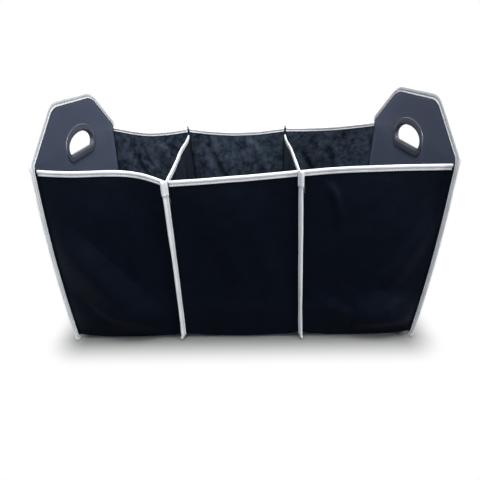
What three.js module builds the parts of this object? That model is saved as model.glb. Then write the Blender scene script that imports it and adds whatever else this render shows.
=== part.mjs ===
// A folding organizer for a car's boot: three open compartments in a row, sewn from soft non-woven cloth.
// Millimetres, +Z up, +X along the row of compartments, -Y is the front.
// The origin is on the ground under the middle.
//
// Each compartment is one strip of cloth that runs down the front, under the floor and up the back.
// The strips meet at four upright hoops: two stiff end panels and two soft dividers. At a hoop the edges
// of the strips turn outwards and are bound together with white tape, so a taped ridge runs down the
// front, under the floor and up the back, and the organizer stands on the four ridges.

import * as THREE from "three";
import { mergeVertices } from "three/addons/utils/BufferGeometryUtils.js";

// Driving sizes
const WIDTH = 500; // over the tape of both end panels
const DEPTH = 325; // over the ridges, front to back
const RIM_HEIGHT = 259; // ground to the top of the rim tape
const SHOULDER_RISE = 3; // rim up to where an end panel's edge starts to turn in
const PEAK_RISE = 71; // rim up to the top of an end panel
const PANEL_SLOPE = 36; // degrees that its upper edges slope
const TOP_RADIUS = 34;
const SHOULDER_ROUND = 4; // bend inside the tape at the shoulder
const FOOT_ROUND = 7; // bend of the cloth between wall and floor
const POCKET_HEIGHT = 220; // ground to the mouth of an end pocket
const POCKET_DIP = 4; // the mouth hangs in the middle
const POCKET_BELLY = { left: 11, right: 7 }; // and stands open there

// Cloth, board and tape
const CLOTH = 0.6;
const DIVIDER_CLOTH = 1; // two layers
const BOARD = 1.5; // stiffener inside an end panel
const TAPE = 0.5;
const TAPE_LEG = 8.5; // how far the folded tape reaches in from the edge
const TAPE_EASE = 0.25; // the tape's folded corner is broken by this much
const BITE = 1; // the tape stops this far short of the wall that its ridge stands on
const EASE = 0.3; // clearance between neighbouring layers
const TAB = 18; // the tape's end is folded back over itself for this length
const TAB_RAMP = 1;
const BAND = 1; // a wall is held flat by its tape, and this far below it
const JOG = 4; // length over which the end tape steps in where a layer below it ends

// The soft body stands unevenly. SAG is the unit of that: the rest are shares of it.
const SAG = 10;
const SEAM_SHIFT = [-0.25, 0]; // left and right seam on the ground, from an even third
const STANCE = [
  { front: [-0.3, 0, 0], back: [-0.3, 0, 0] },
  { front: [-0.37, -0.5, -1.25], back: [-1.6, -0.5, -1.1] },
  { front: [-1.18, -0.3, -0.5], back: [0.06, -0.55, -1.35] },
  { front: [1.1, 0, 0], back: [1.1, 0, 0] },
]; // how far the rim at each hoop has moved in x, y and z
const FRONT_BOW = [0.1, 0.15, 0.1]; // rim between the hoops, up from a straight line
const BACK_BOW = [-0.85, -0.75, -0.35];
const FRONT_BELLY = [0.4, 0.5, 0.4]; // wall between the hoops, outwards
const BACK_BELLY = [-0.6, -0.5, 0.4];
const DIVIDER_DIP = 0.8; // the divider's rim hangs in the middle
const DIVIDER_WAVE = 0.3; // and its cloth sways to one side

// Carrying handle: two plastic rims that clip together through the end panel
const HANDLE_DROP = 85; // top of the panel down to the flat lower side of the hand hole
const HANDLE_HALF = 46;
const HANDLE_CORNER = 9;
const HANDLE_ARCH = 25; // rise of the arch above the lower corners
const HANDLE_RIM = 10; // width of the plastic rim
const HANDLE_RIM_THICK = 2.6;
const HANDLE_ROUND = 0.9;
const HANDLE_WALL = 1.8; // sleeve through the panel

// Loose boards on the floor of each compartment
const FLOOR_BOARD = 3;
const FLOOR_BOARD_SLACK = 3;
const FLOOR_BOARD_CORNER = 5;

// Worked out from the sizes above
const RIDGE = TAPE_LEG + BITE; // how far a bound seam stands out of the cloth
const WALL = DEPTH / 2 - RIDGE; // outer face of the front and back walls
const WALL_RADIUS = FOOT_ROUND;
const FOOT_RADIUS = FOOT_ROUND + RIDGE;
const SHOULDER_RADIUS = TAPE_LEG + SHOULDER_ROUND;
const PANEL_HEIGHT = RIM_HEIGHT + PEAK_RISE;
const CLOTH_INSET = TAPE + EASE; // cloth edges lie this far inside the tape's fold
const INNER_CLOTH_FACE = BOARD / 2 + EASE + CLOTH; // from the middle of an end board
const END_FLANGE = INNER_CLOTH_FACE + EASE + CLOTH / 2;
const POCKET_STANDOFF = 2 * EASE + TAPE; // room for the pocket's own tape
const POCKET_BACK = INNER_CLOTH_FACE + POCKET_STANDOFF;
const END_LEG_IN = INNER_CLOTH_FACE + 2 * EASE + CLOTH; // inner faces of the tape's legs
const END_LEG_OUT = POCKET_BACK + CLOTH + EASE;
const END_LEG_BARE = INNER_CLOTH_FACE + EASE;
const END_X = WIDTH / 2 - END_LEG_OUT - TAPE; // middle of an end board
const SEAM_FLANGE = DIVIDER_CLOTH / 2 + EASE + CLOTH / 2;
const SEAM_LEG = SEAM_FLANGE + CLOTH / 2 + EASE;
const HOOP_X = [-END_X, -WIDTH / 6 + SAG * SEAM_SHIFT[0], WIDTH / 6 + SAG * SEAM_SHIFT[1], END_X];
const FLANGE_AT = [END_FLANGE, SEAM_FLANGE, SEAM_FLANGE, END_FLANGE];
const RIM_TAPE_STOP = [END_LEG_IN + TAPE + EASE, SEAM_LEG + 2 * TAPE + EASE];
const CLOTH_TOP = RIM_HEIGHT - CLOTH_INSET;
const BAND_Z = RIM_HEIGHT - TAPE_LEG - BAND;
const HANDLE_LOW = PANEL_HEIGHT - HANDLE_DROP;

// Finishes
const black = { color: 0x14161d, roughness: 0.9, metalness: 0 };
const cloth = new THREE.MeshStandardMaterial(black);
const innerCloth = new THREE.MeshStandardMaterial({ ...black, color: 0x1d2029 });
const tape = new THREE.MeshStandardMaterial({ color: 0xd6d7da, roughness: 0.8, metalness: 0 });
const card = new THREE.MeshStandardMaterial({ color: 0x8d7452, roughness: 0.95, metalness: 0 });
const plastic = new THREE.MeshStandardMaterial({ color: 0x1b1d26, roughness: 0.45, metalness: 0 });

const mix = (a, b, t) => a + (b - a) * t;
const clamp01 = (t) => Math.min(1, Math.max(0, t));
const smooth = (t) => clamp01(t) ** 2 * (3 - 2 * clamp01(t));
const steps = (from, to, count) => Array.from({ length: count + 1 }, (_, i) => mix(from, to, i / count));

// Where a point of the neatly standing body has gone. Near each hoop all layers move as one, the lean
// in x grows evenly from the ground, and above the band the walls only shift in y and z.
const HOOP_GRIP = END_LEG_OUT + TAPE + 1;
function slumped(x, y, z) {
  let k = 0;
  while (k < HOOP_X.length - 2 && x > HOOP_X[k + 1]) k += 1;
  const across = clamp01((x - HOOP_X[k] - HOOP_GRIP) / (HOOP_X[k + 1] - HOOP_X[k] - 2 * HOOP_GRIP));
  const along = clamp01((y + WALL) / (2 * WALL));
  const [dx, dy, dz] = [0, 1, 2].map((i) =>
    SAG *
    mix(
      mix(STANCE[k].front[i], STANCE[k].back[i], along),
      mix(STANCE[k + 1].front[i], STANCE[k + 1].back[i], along),
      across,
    ),
  );
  const sunk = clamp01((z - RIDGE) / (BAND_Z - RIDGE)) ** 1.4;
  return new THREE.Vector3(x + (dx * z) / RIM_HEIGHT, y + dy * sunk, z + dz * sunk);
}

// Closed mesh through rings of points. Rings run round the piece's section, and a closed path joins its ends.
// A sheet's ring runs out along one face and back along the other, point for point.
function loft(rings, { section = null, sheet = false, closedPath = false }) {
  const size = rings[0].length;
  const turn = sheet ? size / 2 : size;
  const points = rings.flat();
  const faces = [];
  const last = closedPath ? rings.length : rings.length - 1;
  for (let r = 0; r < last; r += 1) {
    const a = r * size;
    const b = ((r + 1) % rings.length) * size;
    for (let i = 0; i < size; i += 1) {
      const j = (i + 1) % size;
      if (i < turn) faces.push([a + i, a + j, b + j], [a + i, b + j, b + i]);
      else faces.push([a + i, a + j, b + i], [a + j, b + j, b + i]);
    }
  }
  if (!closedPath) {
    const end = (rings.length - 1) * size;
    for (const [i, j, k] of sheet ? sheetCap(size) : sectionCap(section)) {
      faces.push([k, j, i], [end + i, end + j, end + k]);
    }
  }
  return solidMesh(points, faces);
}

function sheetCap(size) {
  return steps(0, size / 2 - 2, size / 2 - 2).flatMap((k) => {
    const m = size - 1 - k;
    return [[m, k, k + 1], [m - 1, m, k + 1]];
  });
}
function sectionCap(section) {
  const outline = section.map(([u, v]) => new THREE.Vector2(u, v));
  const triangles = THREE.ShapeUtils.triangulateShape(outline, []);
  return THREE.ShapeUtils.isClockWise(outline) ? triangles.map(([i, j, k]) => [k, j, i]) : triangles;
}

// Merges shared points, drops faces that closed up, and turns the solid right side out.
function solidMesh(points, faces) {
  const raw = new THREE.BufferGeometry().setFromPoints(faces.flat().map((i) => points[i]));
  const merged = mergeVertices(raw, 1e-4);
  const index = Array.from(merged.index.array);
  const kept = [];
  let volume = 0;
  const at = merged.getAttribute("position");
  const corner = [new THREE.Vector3(), new THREE.Vector3(), new THREE.Vector3()];
  for (let i = 0; i < index.length; i += 3) {
    const tri = index.slice(i, i + 3);
    if (new Set(tri).size < 3) continue;
    kept.push(tri);
    tri.forEach((v, n) => corner[n].fromBufferAttribute(at, v));
    volume += corner[0].dot(corner[1].clone().cross(corner[2]));
  }
  merged.setIndex((volume < 0 ? kept.map(([a, b, c]) => [c, b, a]) : kept).flat());
  merged.computeVertexNormals();
  return merged;
}

const organizer = new THREE.Group();
organizer.name = "boot_organizer";
function add(name, geometry, material) {
  const mesh = new THREE.Mesh(geometry, material);
  mesh.name = name;
  organizer.add(mesh);
}

// The path that every strip and seam follows in a hoop's plane: down the front, under the floor, up the back.
// A station gives the point on the wall's outer face and the outward direction there.
const FOOT_Z = RIDGE + WALL_RADIUS;
const BODY_ROWS = steps(BAND_Z, FOOT_Z, 6);
const WALL_ROWS = [CLOTH_TOP, ...BODY_ROWS];
const CORNER_STEPS = 4;
function hoopPath(rows) {
  const front = rows.map((z) => ({ y: -WALL, z, ny: -1, nz: 0, side: -1 }));
  const corner = steps(0, Math.PI / 2, CORNER_STEPS).slice(1).map((a) => ({
    y: -(WALL - WALL_RADIUS) - WALL_RADIUS * Math.cos(a),
    z: FOOT_Z - WALL_RADIUS * Math.sin(a),
    ny: -Math.cos(a),
    nz: -Math.sin(a),
    side: -1,
  }));
  const half = [...front, ...corner];
  const back = half.map((s) => ({ ...s, y: -s.y, ny: -s.ny, side: 1 })).reverse();
  return [...half, ...back];
}
const place = (station, out) => [station.y + station.ny * out, station.z + station.nz * out];

// Belly of a wall and bow of its rim, for a compartment, at a share across it.
function wallBelly(compartment, side, share, z) {
  const depth = SAG * (side < 0 ? FRONT_BELLY : BACK_BELLY)[compartment];
  return depth * Math.sin(Math.PI * share) * Math.sin(Math.PI * clamp01((z - FOOT_Z) / (BAND_Z - FOOT_Z)));
}
function rimBow(compartment, side, share, z) {
  const rise = SAG * (side < 0 ? FRONT_BOW : BACK_BOW)[compartment];
  return rise * Math.sin(Math.PI * share) * clamp01((z - FOOT_Z) / (BAND_Z - FOOT_Z)) ** 2;
}
function wallPoint(compartment, station, x, out, up = 0) {
  const from = HOOP_X[compartment] + RIM_TAPE_STOP[compartment === 0 ? 0 : 1];
  const to = HOOP_X[compartment + 1] - RIM_TAPE_STOP[compartment === 2 ? 0 : 1];
  const share = clamp01((x - from) / (to - from));
  const [y, z] = place(station, out);
  const belly = wallBelly(compartment, station.side, share, station.z + up) * Math.abs(station.ny);
  const bow = rimBow(compartment, station.side, share, station.z + up);
  return slumped(x, y + station.side * belly, z + up + bow);
}

// Strips: front wall, floor and back wall of a compartment in one cloth, with its edges turned outwards.
const WALL_COLUMNS = 6;
const COMPARTMENTS = ["left", "centre", "right"];
function columns(compartment) {
  const from = HOOP_X[compartment] + RIM_TAPE_STOP[compartment === 0 ? 0 : 1];
  const to = HOOP_X[compartment + 1] - RIM_TAPE_STOP[compartment === 2 ? 0 : 1];
  return steps(from, to, WALL_COLUMNS);
}
function stripGeometry(compartment) {
  const from = HOOP_X[compartment] + FLANGE_AT[compartment];
  const to = HOOP_X[compartment + 1] - FLANGE_AT[compartment + 1];
  const tip = RIDGE - CLOTH_INSET;
  const section = [
    [from - CLOTH / 2, tip],
    [from - CLOTH / 2, -CLOTH],
    ...columns(compartment).map((x) => [x, -CLOTH]),
    [to + CLOTH / 2, -CLOTH],
    [to + CLOTH / 2, tip],
    [to - CLOTH / 2, tip],
    [to - CLOTH / 2, 0],
    ...columns(compartment).reverse().map((x) => [x, 0]),
    [from + CLOTH / 2, 0],
    [from + CLOTH / 2, tip],
  ];
  const rings = hoopPath(WALL_ROWS).map((s) => section.map(([x, out]) => wallPoint(compartment, s, x, out)));
  return loft(rings, { sheet: true });
}
COMPARTMENTS.forEach((name, c) => add(`strip_${name}`, stripGeometry(c), cloth));

// Tape folded over an edge: a deep, narrow U. `a` and `b` are the inner faces of its two legs either side of
// the cloth, `depth` runs from the fold towards the open side.
function foldedTape(a, b, leg, thick = TAPE) {
  return [
    [b + thick, leg],
    [b + thick, TAPE_EASE],
    [b + thick - TAPE_EASE, 0],
    [-a - thick + TAPE_EASE, 0],
    [-a - thick, TAPE_EASE],
    [-a - thick, leg],
    [-a, leg],
    [-a, thick],
    [b, thick],
    [b, leg],
  ];
}
// Rim tapes along the top of each wall.
function rimTapeGeometry(compartment, side) {
  const station = { y: side * WALL, z: RIM_HEIGHT, ny: side, nz: 0, side };
  const section = foldedTape(CLOTH + EASE, EASE, TAPE_LEG);
  const rings = columns(compartment).map((x) =>
    section.map(([out, down]) => wallPoint(compartment, station, x, out, -down)),
  );
  return loft(rings, { section });
}
COMPARTMENTS.forEach((name, c) => {
  add(`rim_tape_front_${name}`, rimTapeGeometry(c, -1), tape);
  add(`rim_tape_back_${name}`, rimTapeGeometry(c, 1), tape);
});

// Dividers: soft double cloth whose edges lie between the turned-out edges of two strips.
const DIVIDERS = ["left", "right"];
const DIVIDER_COLUMNS = 8;
function dividerPoint(hoop, y, z, across) {
  const free = clamp01(1 - (y / (WALL - 2 * TAPE_LEG)) ** 2);
  const up = clamp01((z - FOOT_Z) / (BAND_Z - FOOT_Z));
  const dip = SAG * DIVIDER_DIP * free * up ** 3;
  const wave = SAG * DIVIDER_WAVE * Math.sin(2 * Math.PI * clamp01((y + WALL) / (2 * WALL))) * free * up;
  return slumped(HOOP_X[hoop] + across, y, z).add(new THREE.Vector3(wave, 0, -dip));
}
function dividerGeometry(hoop) {
  const reach = RIDGE - CLOTH_INSET;
  const path = hoopPath(WALL_ROWS);
  const half = path.slice(0, path.length / 2);
  const sheet = (offset) => half.map((s) => {
    const [edge, z] = place(s, reach);
    const root = s.y + CLOTH + EASE;
    const across = [edge, ...steps(root, -root, DIVIDER_COLUMNS), -edge];
    return across.map((y) => dividerPoint(hoop, y, z, offset));
  });
  const near = sheet(-DIVIDER_CLOTH / 2);
  const far = sheet(DIVIDER_CLOTH / 2);
  const rings = near.map((row, r) => [...row, ...far[r].slice().reverse()]);
  return loft(rings, { sheet: true });
}
function dividerTapeGeometry(hoop) {
  const reach = WALL - CLOTH - EASE;
  const section = foldedTape(DIVIDER_CLOTH / 2 + EASE, DIVIDER_CLOTH / 2 + EASE, TAPE_LEG);
  const rings = steps(-reach, reach, DIVIDER_COLUMNS).map((y) =>
    section.map(([across, down]) => dividerPoint(hoop, y, RIM_HEIGHT - down, across)),
  );
  return loft(rings, { section });
}
DIVIDERS.forEach((name, d) => {
  add(`divider_${name}`, dividerGeometry(d + 1), cloth);
  add(`divider_tape_${name}`, dividerTapeGeometry(d + 1), tape);
});

// Seam tapes: bind the ridge of a divider down the front, under the floor and up the back.
// Each end is folded back over itself into a short thick tab that closes over the top of the ridge.
const CLOSE_STEP = 0.05;
function seamTapeGeometry(hoop) {
  const plain = foldedTape(SEAM_LEG, SEAM_LEG, TAPE_LEG);
  const thickEnd = (closed) => plain.map(([w, depth]) => [
    w + Math.sign(w) * (Math.abs(w) > SEAM_LEG ? TAPE : 0),
    closed && depth === TAPE ? TAPE_LEG : depth === 0 || depth === TAPE_EASE ? depth - TAPE : depth,
  ]);
  const top = RIM_HEIGHT + TAPE;
  const cavityTop = CLOTH_TOP + EASE;
  const tabEnd = RIM_HEIGHT - TAB;
  const rows = [
    { z: top, section: thickEnd(true) },
    { z: cavityTop + CLOSE_STEP, section: thickEnd(true) },
    { z: cavityTop, section: thickEnd(false) },
    { z: BAND_Z, section: thickEnd(false) },
    { z: tabEnd, section: thickEnd(false) },
    { z: tabEnd - TAB_RAMP, section: plain },
    ...BODY_ROWS.slice(1).map((z) => ({ z, section: plain })),
  ];
  const path = hoopPath(rows.map((r) => r.z));
  const rings = path.map((station, i) => {
    const row = Math.min(i, path.length - 1 - i);
    const { section } = rows[Math.min(row, rows.length - 1)];
    return section.map(([across, depth]) => {
      const [y, z] = place(station, RIDGE - depth);
      return slumped(HOOP_X[hoop] + across, y, z);
    });
  });
  return loft(rings, { section: plain });
}
DIVIDERS.forEach((name, d) => add(`seam_tape_${name}`, seamTapeGeometry(d + 1), tape));

// Outline of an end panel, drawn `inset` inside its taped edge, as points across (y) and up (z).
// It starts at the middle of the bottom and runs round; every inset gives the same number of points,
// because its bends share their centres.
const SLOPE = THREE.MathUtils.degToRad(PANEL_SLOPE);
const FOOT_CENTRE = [DEPTH / 2 - FOOT_RADIUS, FOOT_RADIUS];
const SHOULDER_CENTRE = [DEPTH / 2 - SHOULDER_RADIUS, RIM_HEIGHT + SHOULDER_RISE];
const TOP_CENTRE = [
  SHOULDER_CENTRE[0]
    + (SHOULDER_RADIUS - TOP_RADIUS - Math.cos(SLOPE) * (PANEL_HEIGHT - TOP_RADIUS - SHOULDER_CENTRE[1]))
    / Math.sin(SLOPE),
  PANEL_HEIGHT - TOP_RADIUS,
];
// Heights where the end tape changes: above the pocket's mouth and above the rim it lies closer to the panel.
const POCKET_STOP = POCKET_HEIGHT + EASE;
const RIM_STOP = CLOTH_TOP + EASE;
const SIDE_STOPS = [POCKET_STOP, POCKET_STOP + JOG, RIM_STOP];
const bend = ([y, z], radius, from, to, count) =>
  steps(from, to, count).map((a) => [y + radius * Math.cos(a), z + radius * Math.sin(a)]);
function endHalfOutline(inset) {
  return [
    [0, inset],
    ...bend(FOOT_CENTRE, FOOT_RADIUS - inset, -Math.PI / 2, 0, CORNER_STEPS),
    ...SIDE_STOPS.map((z) => [DEPTH / 2 - inset, z]),
    ...bend(SHOULDER_CENTRE, SHOULDER_RADIUS - inset, 0, Math.PI / 2 - SLOPE, 2),
    ...bend(TOP_CENTRE, TOP_RADIUS - inset, Math.PI / 2 - SLOPE, Math.PI / 2, CORNER_STEPS),
    [0, PANEL_HEIGHT - inset],
  ];
}
function endOutline(inset) {
  const half = endHalfOutline(inset);
  const mirrored = half.slice(1, -1).reverse().map(([y, z]) => [-y, z]);
  return [...half, ...mirrored];
}
function outlineShape(points) {
  return new THREE.Shape(points.map(([y, z]) => new THREE.Vector2(y, z)));
}

// The hand hole: flat below, arched above, drawn `grow` outside its edge.
function handleOutline(grow) {
  const low = HANDLE_LOW + HANDLE_CORNER;
  const r = HANDLE_CORNER + grow;
  const cornerY = HANDLE_HALF - HANDLE_CORNER;
  const right = steps(-Math.PI / 2, 0, 3).map((a) => [cornerY + r * Math.cos(a), low + r * Math.sin(a)]);
  const arch = steps(0, Math.PI, 12).slice(1, -1).map((a) => {
    const tangent = new THREE.Vector2(HANDLE_ARCH * Math.cos(a), HANDLE_HALF * Math.sin(a)).normalize();
    return [
      HANDLE_HALF * Math.cos(a) + grow * tangent.x,
      low + HANDLE_ARCH * Math.sin(a) + grow * tangent.y,
    ];
  });
  const left = right.slice().reverse().map(([y, z]) => [-y, z]);
  return [...right, ...arch, ...left];
}

// How far an end panel leans in x for each millimetre of height
const endLean = (side) => (SAG * STANCE[side < 0 ? 0 : 3].front[0]) / RIM_HEIGHT;

// A flat layer of an end panel, between two distances from the middle of the board, with its hand hole.
function endLayerGeometry(side, inset, from, to) {
  const shape = outlineShape(endOutline(inset));
  const hole = handleOutline(HANDLE_WALL + EASE);
  shape.holes.push(new THREE.Path(hole.map(([y, z]) => new THREE.Vector2(y, z))));
  const geometry = new THREE.ExtrudeGeometry(shape, { depth: to - from, bevelEnabled: false });
  geometry.deleteAttribute("normal");
  geometry.deleteAttribute("uv");
  geometry.applyMatrix4(new THREE.Matrix4().makeBasis(
    new THREE.Vector3(0, 1, 0),
    new THREE.Vector3(0, 0, 1),
    new THREE.Vector3(1, 0, 0),
  ));
  geometry.translate(from, 0, 0);
  if (side < 0) geometry.rotateZ(Math.PI);
  geometry.translate(side * END_X, 0, 0);
  geometry.applyMatrix4(new THREE.Matrix4().makeShear(0, 0, 0, 0, endLean(side), 0));
  return mergeVertices(geometry, 1e-4);
}

// Point of an end panel: `w` is the distance outwards from the middle of its board.
const endPoint = (side, w, y, z) => new THREE.Vector3(side * (END_X + w) + endLean(side) * z, side * y, z);

// End tape: one closed loop round the whole panel. It holds the strip's edge up to the rim and the pocket's
// edge up to its mouth, and lies closer where those layers are missing.
function endTapeGeometry(side) {
  const sectionAt = (z) => foldedTape(
    z > RIM_STOP ? END_LEG_BARE : END_LEG_IN,
    z > POCKET_STOP ? END_LEG_BARE : END_LEG_OUT,
    TAPE_LEG,
  );
  const edge = endOutline(0);
  const rings = edge.map(([, z], i) =>
    sectionAt(z).map(([w, depth]) => {
      const [y, at] = endOutline(depth)[i];
      return endPoint(side, w, y, at);
    }),
  );
  return loft(rings, { closedPath: true });
}

// End pocket: a patch over the lower part of the panel, caught in the end tape on three sides.
const POCKET_ROWS = 5;
const POCKET_COLUMNS = 8;
function pocketPush(side, y, z) {
  const reach = DEPTH / 2 - TAPE_LEG - EASE;
  const across = clamp01(1 - (y / reach) ** 2);
  const up = clamp01((z - FOOT_RADIUS) / (POCKET_HEIGHT - TAPE_LEG - BAND - FOOT_RADIUS));
  const belly = side < 0 ? POCKET_BELLY.left : POCKET_BELLY.right;
  return { out: belly * across ** 1.5 * up ** 2, down: POCKET_DIP * across * up ** 2 };
}
function pocketPoint(side, w, y, z) {
  const push = pocketPush(side, y, z);
  return endPoint(side, w + push.out, y, z - push.down);
}
function pocketGeometry(side) {
  const top = POCKET_HEIGHT - CLOTH_INSET;
  const foot = bend(FOOT_CENTRE, FOOT_RADIUS - CLOTH_INSET, -Math.PI / 2, 0, CORNER_STEPS);
  const walls = steps(FOOT_RADIUS, POCKET_HEIGHT - TAPE_LEG - BAND, POCKET_ROWS).slice(1);
  const rows = [...foot, ...[...walls, top].map((z) => [DEPTH / 2 - CLOTH_INSET, z])];
  const tapeEnd = DEPTH / 2 - TAPE_LEG - EASE;
  const inner = steps(-tapeEnd, tapeEnd, POCKET_COLUMNS);
  const rings = rows.map(([half, z]) => {
    const narrowed = (half - TAPE_LEG) / (DEPTH / 2 - CLOTH_INSET - TAPE_LEG);
    const line = [-half, ...inner.map((y) => y * narrowed), half];
    return [
      ...line.map((y) => pocketPoint(side, POCKET_BACK, y, z)),
      ...line.reverse().map((y) => pocketPoint(side, POCKET_BACK + CLOTH, y, z)),
    ];
  });
  return loft(rings, { sheet: true });
}
function pocketTapeGeometry(side) {
  const tapeEnd = DEPTH / 2 - TAPE_LEG - EASE;
  const section = foldedTape(EASE, CLOTH + EASE, TAPE_LEG);
  const rings = steps(-tapeEnd, tapeEnd, POCKET_COLUMNS).map((y) =>
    section.map(([w, down]) => pocketPoint(side, POCKET_BACK + w, y, POCKET_HEIGHT - down)),
  );
  return loft(rings, { section });
}

// Handle halves: a rounded rim on each face, and a sleeve through the panel on the outer one.
function handleGeometry(side, section) {
  const count = handleOutline(0).length;
  const rings = Array.from({ length: count }, (_, i) =>
    section.map(([grow, w]) => {
      const [y, z] = handleOutline(grow)[i];
      return endPoint(side, w, y, z);
    }),
  );
  return loft(rings, { closedPath: true });
}
const RIM_SEAT = INNER_CLOTH_FACE + EASE;
const RIM_FACE = RIM_SEAT + HANDLE_RIM_THICK;
const outerHandle = [
  [0, RIM_FACE - HANDLE_ROUND],
  [HANDLE_ROUND, RIM_FACE],
  [HANDLE_RIM - HANDLE_ROUND, RIM_FACE],
  [HANDLE_RIM, RIM_FACE - HANDLE_ROUND],
  [HANDLE_RIM, RIM_SEAT],
  [HANDLE_WALL, RIM_SEAT],
  [HANDLE_WALL, -RIM_FACE + HANDLE_ROUND],
  [0, -RIM_FACE + HANDLE_ROUND],
];
const innerHandle = [
  [HANDLE_WALL + EASE, -RIM_SEAT],
  [HANDLE_RIM, -RIM_SEAT],
  [HANDLE_RIM, -RIM_FACE + HANDLE_ROUND],
  [HANDLE_RIM - HANDLE_ROUND, -RIM_FACE],
  [HANDLE_WALL + EASE + HANDLE_ROUND, -RIM_FACE],
  [HANDLE_WALL + EASE, -RIM_FACE + HANDLE_ROUND],
];

const ENDS = [["left", -1], ["right", 1]];
for (const [name, side] of ENDS) {
  const near = BOARD / 2 + EASE;
  const far = INNER_CLOTH_FACE;
  add(`end_board_${name}`, endLayerGeometry(side, CLOTH_INSET + EASE, -BOARD / 2, BOARD / 2), card);
  add(`end_cloth_outer_${name}`, endLayerGeometry(side, CLOTH_INSET, near, far), cloth);
  add(`end_cloth_inner_${name}`, endLayerGeometry(side, CLOTH_INSET, -far, -near), innerCloth);
  add(`end_tape_${name}`, endTapeGeometry(side), tape);
  add(`pocket_${name}`, pocketGeometry(side), cloth);
  add(`pocket_tape_${name}`, pocketTapeGeometry(side), tape);
  add(`handle_outer_${name}`, handleGeometry(side, outerHandle), plastic);
  add(`handle_inner_${name}`, handleGeometry(side, innerHandle), plastic);
}

// Floor boards: cloth-covered card lying on the strips between the hoops.
function floorBoardGeometry(compartment) {
  const from = HOOP_X[compartment] + FLANGE_AT[compartment] + CLOTH / 2 + FLOOR_BOARD_SLACK;
  const to = HOOP_X[compartment + 1] - FLANGE_AT[compartment + 1] - CLOTH / 2 - FLOOR_BOARD_SLACK;
  const half = WALL - WALL_RADIUS;
  const r = FLOOR_BOARD_CORNER;
  const shape = new THREE.Shape();
  shape.absarc(to - r, half - r, r, 0, Math.PI / 2);
  shape.absarc(from + r, half - r, r, Math.PI / 2, Math.PI);
  shape.absarc(from + r, -half + r, r, Math.PI, 1.5 * Math.PI);
  shape.absarc(to - r, -half + r, r, 1.5 * Math.PI, 2 * Math.PI);
  const extrusion = { depth: FLOOR_BOARD, bevelEnabled: false, curveSegments: 3 };
  const geometry = new THREE.ExtrudeGeometry(shape, extrusion);
  geometry.translate(0, 0, RIDGE + CLOTH + EASE);
  return geometry;
}
COMPARTMENTS.forEach((name, c) => add(`floor_board_${name}`, floorBoardGeometry(c), cloth));

export default organizer;
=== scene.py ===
# A folding organizer for a car's trunk, in looks: dark non-woven cloth, sewn and bound with white tape,
# in three open compartments between two raised end panels with plastic grips.
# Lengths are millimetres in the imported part's frame, apart from the room's; meshes are in metres.

import math

import bpy
import numpy as np
from mathutils import Matrix, Vector


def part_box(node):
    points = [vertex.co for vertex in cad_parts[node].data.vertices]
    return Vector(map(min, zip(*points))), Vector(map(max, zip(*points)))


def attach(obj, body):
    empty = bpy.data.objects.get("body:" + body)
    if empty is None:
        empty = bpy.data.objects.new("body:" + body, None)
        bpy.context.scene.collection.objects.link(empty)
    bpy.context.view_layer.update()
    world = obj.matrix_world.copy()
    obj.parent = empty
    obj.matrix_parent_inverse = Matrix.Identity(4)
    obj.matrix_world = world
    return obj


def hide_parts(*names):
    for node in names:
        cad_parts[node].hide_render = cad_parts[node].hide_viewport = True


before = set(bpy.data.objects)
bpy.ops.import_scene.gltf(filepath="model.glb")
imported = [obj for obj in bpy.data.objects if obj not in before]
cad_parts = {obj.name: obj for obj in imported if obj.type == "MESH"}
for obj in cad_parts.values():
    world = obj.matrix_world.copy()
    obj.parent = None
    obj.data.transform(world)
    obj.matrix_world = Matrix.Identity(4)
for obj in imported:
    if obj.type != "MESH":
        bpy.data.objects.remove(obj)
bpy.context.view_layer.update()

# The room: a floor painted dark grey round the organizer, a painted shade that deepens its shadow, which
# fades into a white background beyond it, daylight-like softboxes, and the camera, which stands close in
# front of the organizer and looks down on it. Its lengths are metres, apart from the camera's place and lens.
CAMERA_AT = (6.2, -605.6, 380.7)
CAMERA_TURN, CAMERA_DOWN, CAMERA_ROLL = -1.01, 25.89, -1.28  # degrees
LENS, SENSOR = 28.74, 36
FLOOR_HALF = 9
FLOOR_SHADE_GREY, FLOOR_BOUNCE = 0.125, 0.05  # as seen, painted dark grey near the organizer as painted shade, and as it lights the cloth
SHADOW_HALF = (0.23, 0.15)  # half sizes of the ground painted dark grey as painted shade, on which the organizer's shadow shows in full
SHADOW_REACH = 0.065  # beyond that ground the floor fades into the white background over this length
AMBIENT, AMBIENT_COLOUR = 0.17, (0.93, 0.96, 1.0, 1)
WHITE = (1, 1, 1, 1)


def add_node(tree, kind, settings=None, inputs=None):
    """Adds a node to a tree. An input is given a value, or a socket to be linked from."""
    made = tree.nodes.new(kind)
    for key, setting in (settings or {}).items():
        setattr(made, key, setting)
    for key, value in (inputs or {}).items():
        if isinstance(value, bpy.types.NodeSocket):
            tree.links.new(value, made.inputs[key])
        else:
            made.inputs[key].default_value = value
    return made


class Value:
    """A socket of a finish's node tree, so that shader maths is written as an expression."""

    def __init__(self, finish, socket):
        self.finish, self.socket = finish, socket

    def apply(self, operation, other=None):
        inputs = {0: self} if other is None else {0: self, 1: other}
        return self.finish.node("ShaderNodeMath", {"operation": operation}, inputs)

    def clamped(self):
        """The value held between 0 and 1."""
        clamping = {"operation": "MULTIPLY", "use_clamp": True}
        return self.finish.node("ShaderNodeMath", clamping, {0: self, 1: 1.0})

    def __add__(self, other):
        return self.apply("ADD", other)

    def __sub__(self, other):
        return self.apply("SUBTRACT", other)

    def __mul__(self, other):
        return self.apply("MULTIPLY", other)

    def __rsub__(self, other):
        return self.finish.node("ShaderNodeMath", {"operation": "SUBTRACT"}, {0: other, 1: self})

    __radd__ = __add__


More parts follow.
